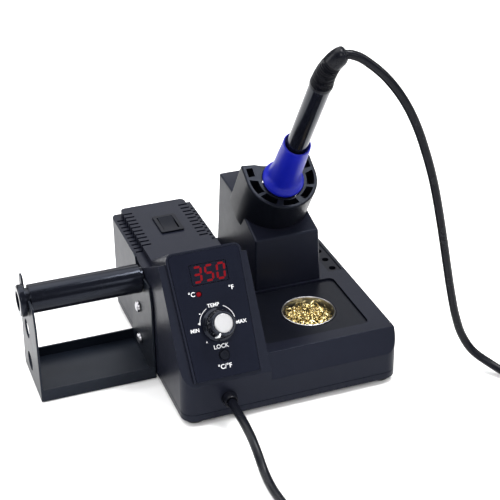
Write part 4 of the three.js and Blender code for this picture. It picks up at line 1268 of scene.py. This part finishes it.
class STATION_OT_iron(bpy.types.Operator):
    """Makes the handpiece: silicone sleeve, polished handle, ribbed boot, barrel and tip"""
    bl_idname = "station.iron"
    bl_label = "Iron"

    def boot(self):
        """Bent strain relief: square-edged ribs, a plain neck and a rounded end."""
        path = route(BOOT_ROUTE, 1)
        spots = route(BOOT_ROUTE, sum((b - a).length for a, b in zip(path, path[1:])) / BOOT_RINGS)
        radii = []
        for k in range(len(spots)):
            share = k / (len(spots) - 1)
            radius = BOOT_FOOT - BOOT_TAPER * share
            if RIBS_FROM < share < RIBS_TO:
                turn = (share - RIBS_FROM) / (RIBS_TO - RIBS_FROM)
                wave = 0.5 - math.cos(2 * math.pi * sizes().ribs * turn)
                radius -= BOOT_VALLEY * (1 - min(1, max(0, wave))) + 0.1
            elif share >= BOOT_END:
                radius -= 2.6 * ((share - BOOT_END) / (1 - BOOT_END)) ** 2.5
            radii.append(radius)
        radii[0] -= 0.4
        return swept(spots, radii, 36)

    def execute(self, context):
        flange = [(7.6, -4.4), (10.5, -4.5), (12.6, -3.6), (14.1, -2.5), (14.75, -1.4), (14.8, -0.5),
                  (14.65, 0.5), (14.1, 1.5), (13.1, 2.6), (12.2, 3.7), (11.6, 5.2), (11.2, 7.2), (10.9, 10)]
        neck = [(10.6, 14), (9.65, 43.8), (9.4, 44.4), (9, 44.5), (8.6, 44.3), (7.7, 36.5), (7.6, 36),
                (7.6, -4.4)]
        stand_for("grip_sleeve", turned(flange + neck, 72), REST, "silicone_sleeve", "blue_silicone", 60)
        handle = turned([(0, -4), (7.2, -4), (7.3, -3.9), (7.3, 110.9), (7.1, 111.7), (6.6, 112), (0, 112)],
                        72)
        stand_for("handle_tube", handle, REST, "polished_handle", "gloss_black")
        stand_for("strain_relief", self.boot(), BODY, "ribbed_boot", "black_rubber", 50)
        for node in ("barrel_nut", "heater_barrel", "soldering_tip"):
            finished(node, 0.2, smooth=40)
        paint("heater_core")
        return {"FINISHED"}


# ---------------------------------------------------------------- reel bracket
class STATION_OT_bracket(bpy.types.Operator):
    """Folds the reel bracket and fits its spindle and screws"""
    bl_idname = "station.bracket"
    bl_label = "Reel bracket"

    def side(self, low, high, thin):
        cradle = arc(SPINDLE_Y, SPINDLE_UP, 8.4, 0, -180, 20)
        corners = [(62.3, 0.6), (116, 0.6), (111, 45), (105.5, 78), (103, 80), (98.4, 79), (95.8, 72)]
        left = [(79, 72), (66.3, 72), (62.3, 58)]
        outline = rounded(corners[:-1], (0, 0, 4, 1.2, 1.2, 0.8), 4) + [corners[-1]] + cradle + left
        return soften(prism(outline, low, high, ALONG_X), thin, 2)

    def execute(self, context):
        thin = sizes().sheet_edge
        far, near, sheet = -81.4, -0.4, 1.5
        front, rear, lip = 62.3, 116, 9.6
        low, high = 0.6, 0.6 + sheet
        parts = [self.side(near - sheet, near, thin)]
        for y0, y1, z1 in ((front, rear, high), (front, front + sheet, lip), (rear - sheet, rear, lip)):
            parts.append(soften(slab(far, near, y0, y1, low, z1), thin, 2))
        holes = [rod(radius, -2, 4, sides, shifted(x, BRACKET_SCREW_Y, z) @ TO_LEFT)
                 for radius, sides, x in ((7, 48, far), (2.3, 32, near)) for z in BRACKET_SCREWS_UP]
        sheet_metal = carve(self.side(far, far + sheet, thin), [("UNION", part) for part in parts]
                            + [("DIFFERENCE", hole) for hole in holes])
        stand_for("reel_bracket", sheet_metal, BODY, "folded_bracket", "bracket_paint")
        left, play = -86.6, 0.8
        start, inner, end = far - play, far + sheet + play, near - sheet - play
        spindle = turned([(6.6, left), (10.2, left), (11.2, left + 1), (11.2, start), (8, start), (8, inner),
                          (10.1, inner), (10.1, end), (8, end), (8, near), (6.6, near), (6.6, left)], 72,
                         shifted(0, SPINDLE_Y, SPINDLE_UP) @ TO_RIGHT)
        spindle = soften(spindle, 0.3, 2, 40)
        stand_for("reel_spindle", spindle, BODY, "reel_tube", "gloss_black")
        for node in ("bracket_screw_lower", "bracket_screw_upper"):
            finished(node, 0.25)
        return {"FINISHED"}


# ---------------------------------------------------------------- sockets and inside
class STATION_OT_sockets(bpy.types.Operator):
    """Makes the front gland and the rear mains socket"""
    bl_idname = "station.sockets"
    bl_label = "Gland and socket"

    def execute(self, context):
        groove = [(3.3, -6), (6.2, -6), (6.2, -2.6), (4.5, -2.6), (4.5, 0.3), (5.3, 0.3)]
        snout = [(5.4, 0.6), (5.2, 2.4), (4.6, 5.4), (4.2, 6), (3.6, 6), (3.3, 5.7), (3.3, -6)]
        gland = turned(groove + snout, 48, AT_GLAND)
        stand_for("cord_gland", gland, BODY, "rubber_gland", "black_rubber", 50)
        finished("mains_inlet", 0.3)
        return {"FINISHED"}


class STATION_OT_inside(bpy.types.Operator):
    """Finishes the transformer, boards and components inside the box"""
    bl_idname = "station.inside"
    bl_label = "Inside pieces"

    def execute(self, context):
        for node in ("power_board", "transformer_core", "transformer_coil", "heat_sink", "power_triac",
                     "smoothing_capacitor", "fuse"):
            paint(node)
        return {"FINISHED"}


# ---------------------------------------------------------------- sidebar, registration and run
BUILD_ORDER = (STATION_OT_stage, STATION_OT_cord, STATION_OT_housing, STATION_OT_base, STATION_OT_panel,
               STATION_OT_knob, STATION_OT_switch, STATION_OT_cleaner, STATION_OT_holder, STATION_OT_iron,
               STATION_OT_bracket, STATION_OT_sockets, STATION_OT_inside)


class STATION_PT_pieces(bpy.types.Panel):
    """Lists the station's builders and the sizes and colours that they use"""
    bl_idname = "STATION_PT_pieces"
    bl_label = "Soldering Iron Station"
    bl_space_type = "VIEW_3D"
    bl_region_type = "UI"
    bl_category = "Station"

    def draw(self, context):
        for group in (context.scene.station_sizes, context.scene.station_colours):
            box = self.layout.box()
            for key in group.__annotations__:
                box.prop(group, key)
        for builder in BUILD_ORDER:
            self.layout.operator(builder.bl_idname)


CLASSES = (StationSizes, StationColours, *BUILD_ORDER, STATION_PT_pieces)


def register():
    for cls in CLASSES:
        bpy.utils.register_class(cls)
    bpy.types.Scene.station_sizes = PointerProperty(type=StationSizes)
    bpy.types.Scene.station_colours = PointerProperty(type=StationColours)


def unregister():
    del bpy.types.Scene.station_colours
    del bpy.types.Scene.station_sizes
    for cls in reversed(CLASSES):
        bpy.utils.unregister_class(cls)


def main():
    register()
    bpy.ops.station.stage()
    bpy.ops.station.cord()
    bpy.ops.station.housing()
    bpy.ops.station.base()
    bpy.ops.station.panel()
    bpy.ops.station.knob()
    bpy.ops.station.switch()
    bpy.ops.station.cleaner()
    bpy.ops.station.holder()
    bpy.ops.station.iron()
    bpy.ops.station.bracket()
    bpy.ops.station.sockets()
    bpy.ops.station.inside()


if __name__ == "__main__":
    main()
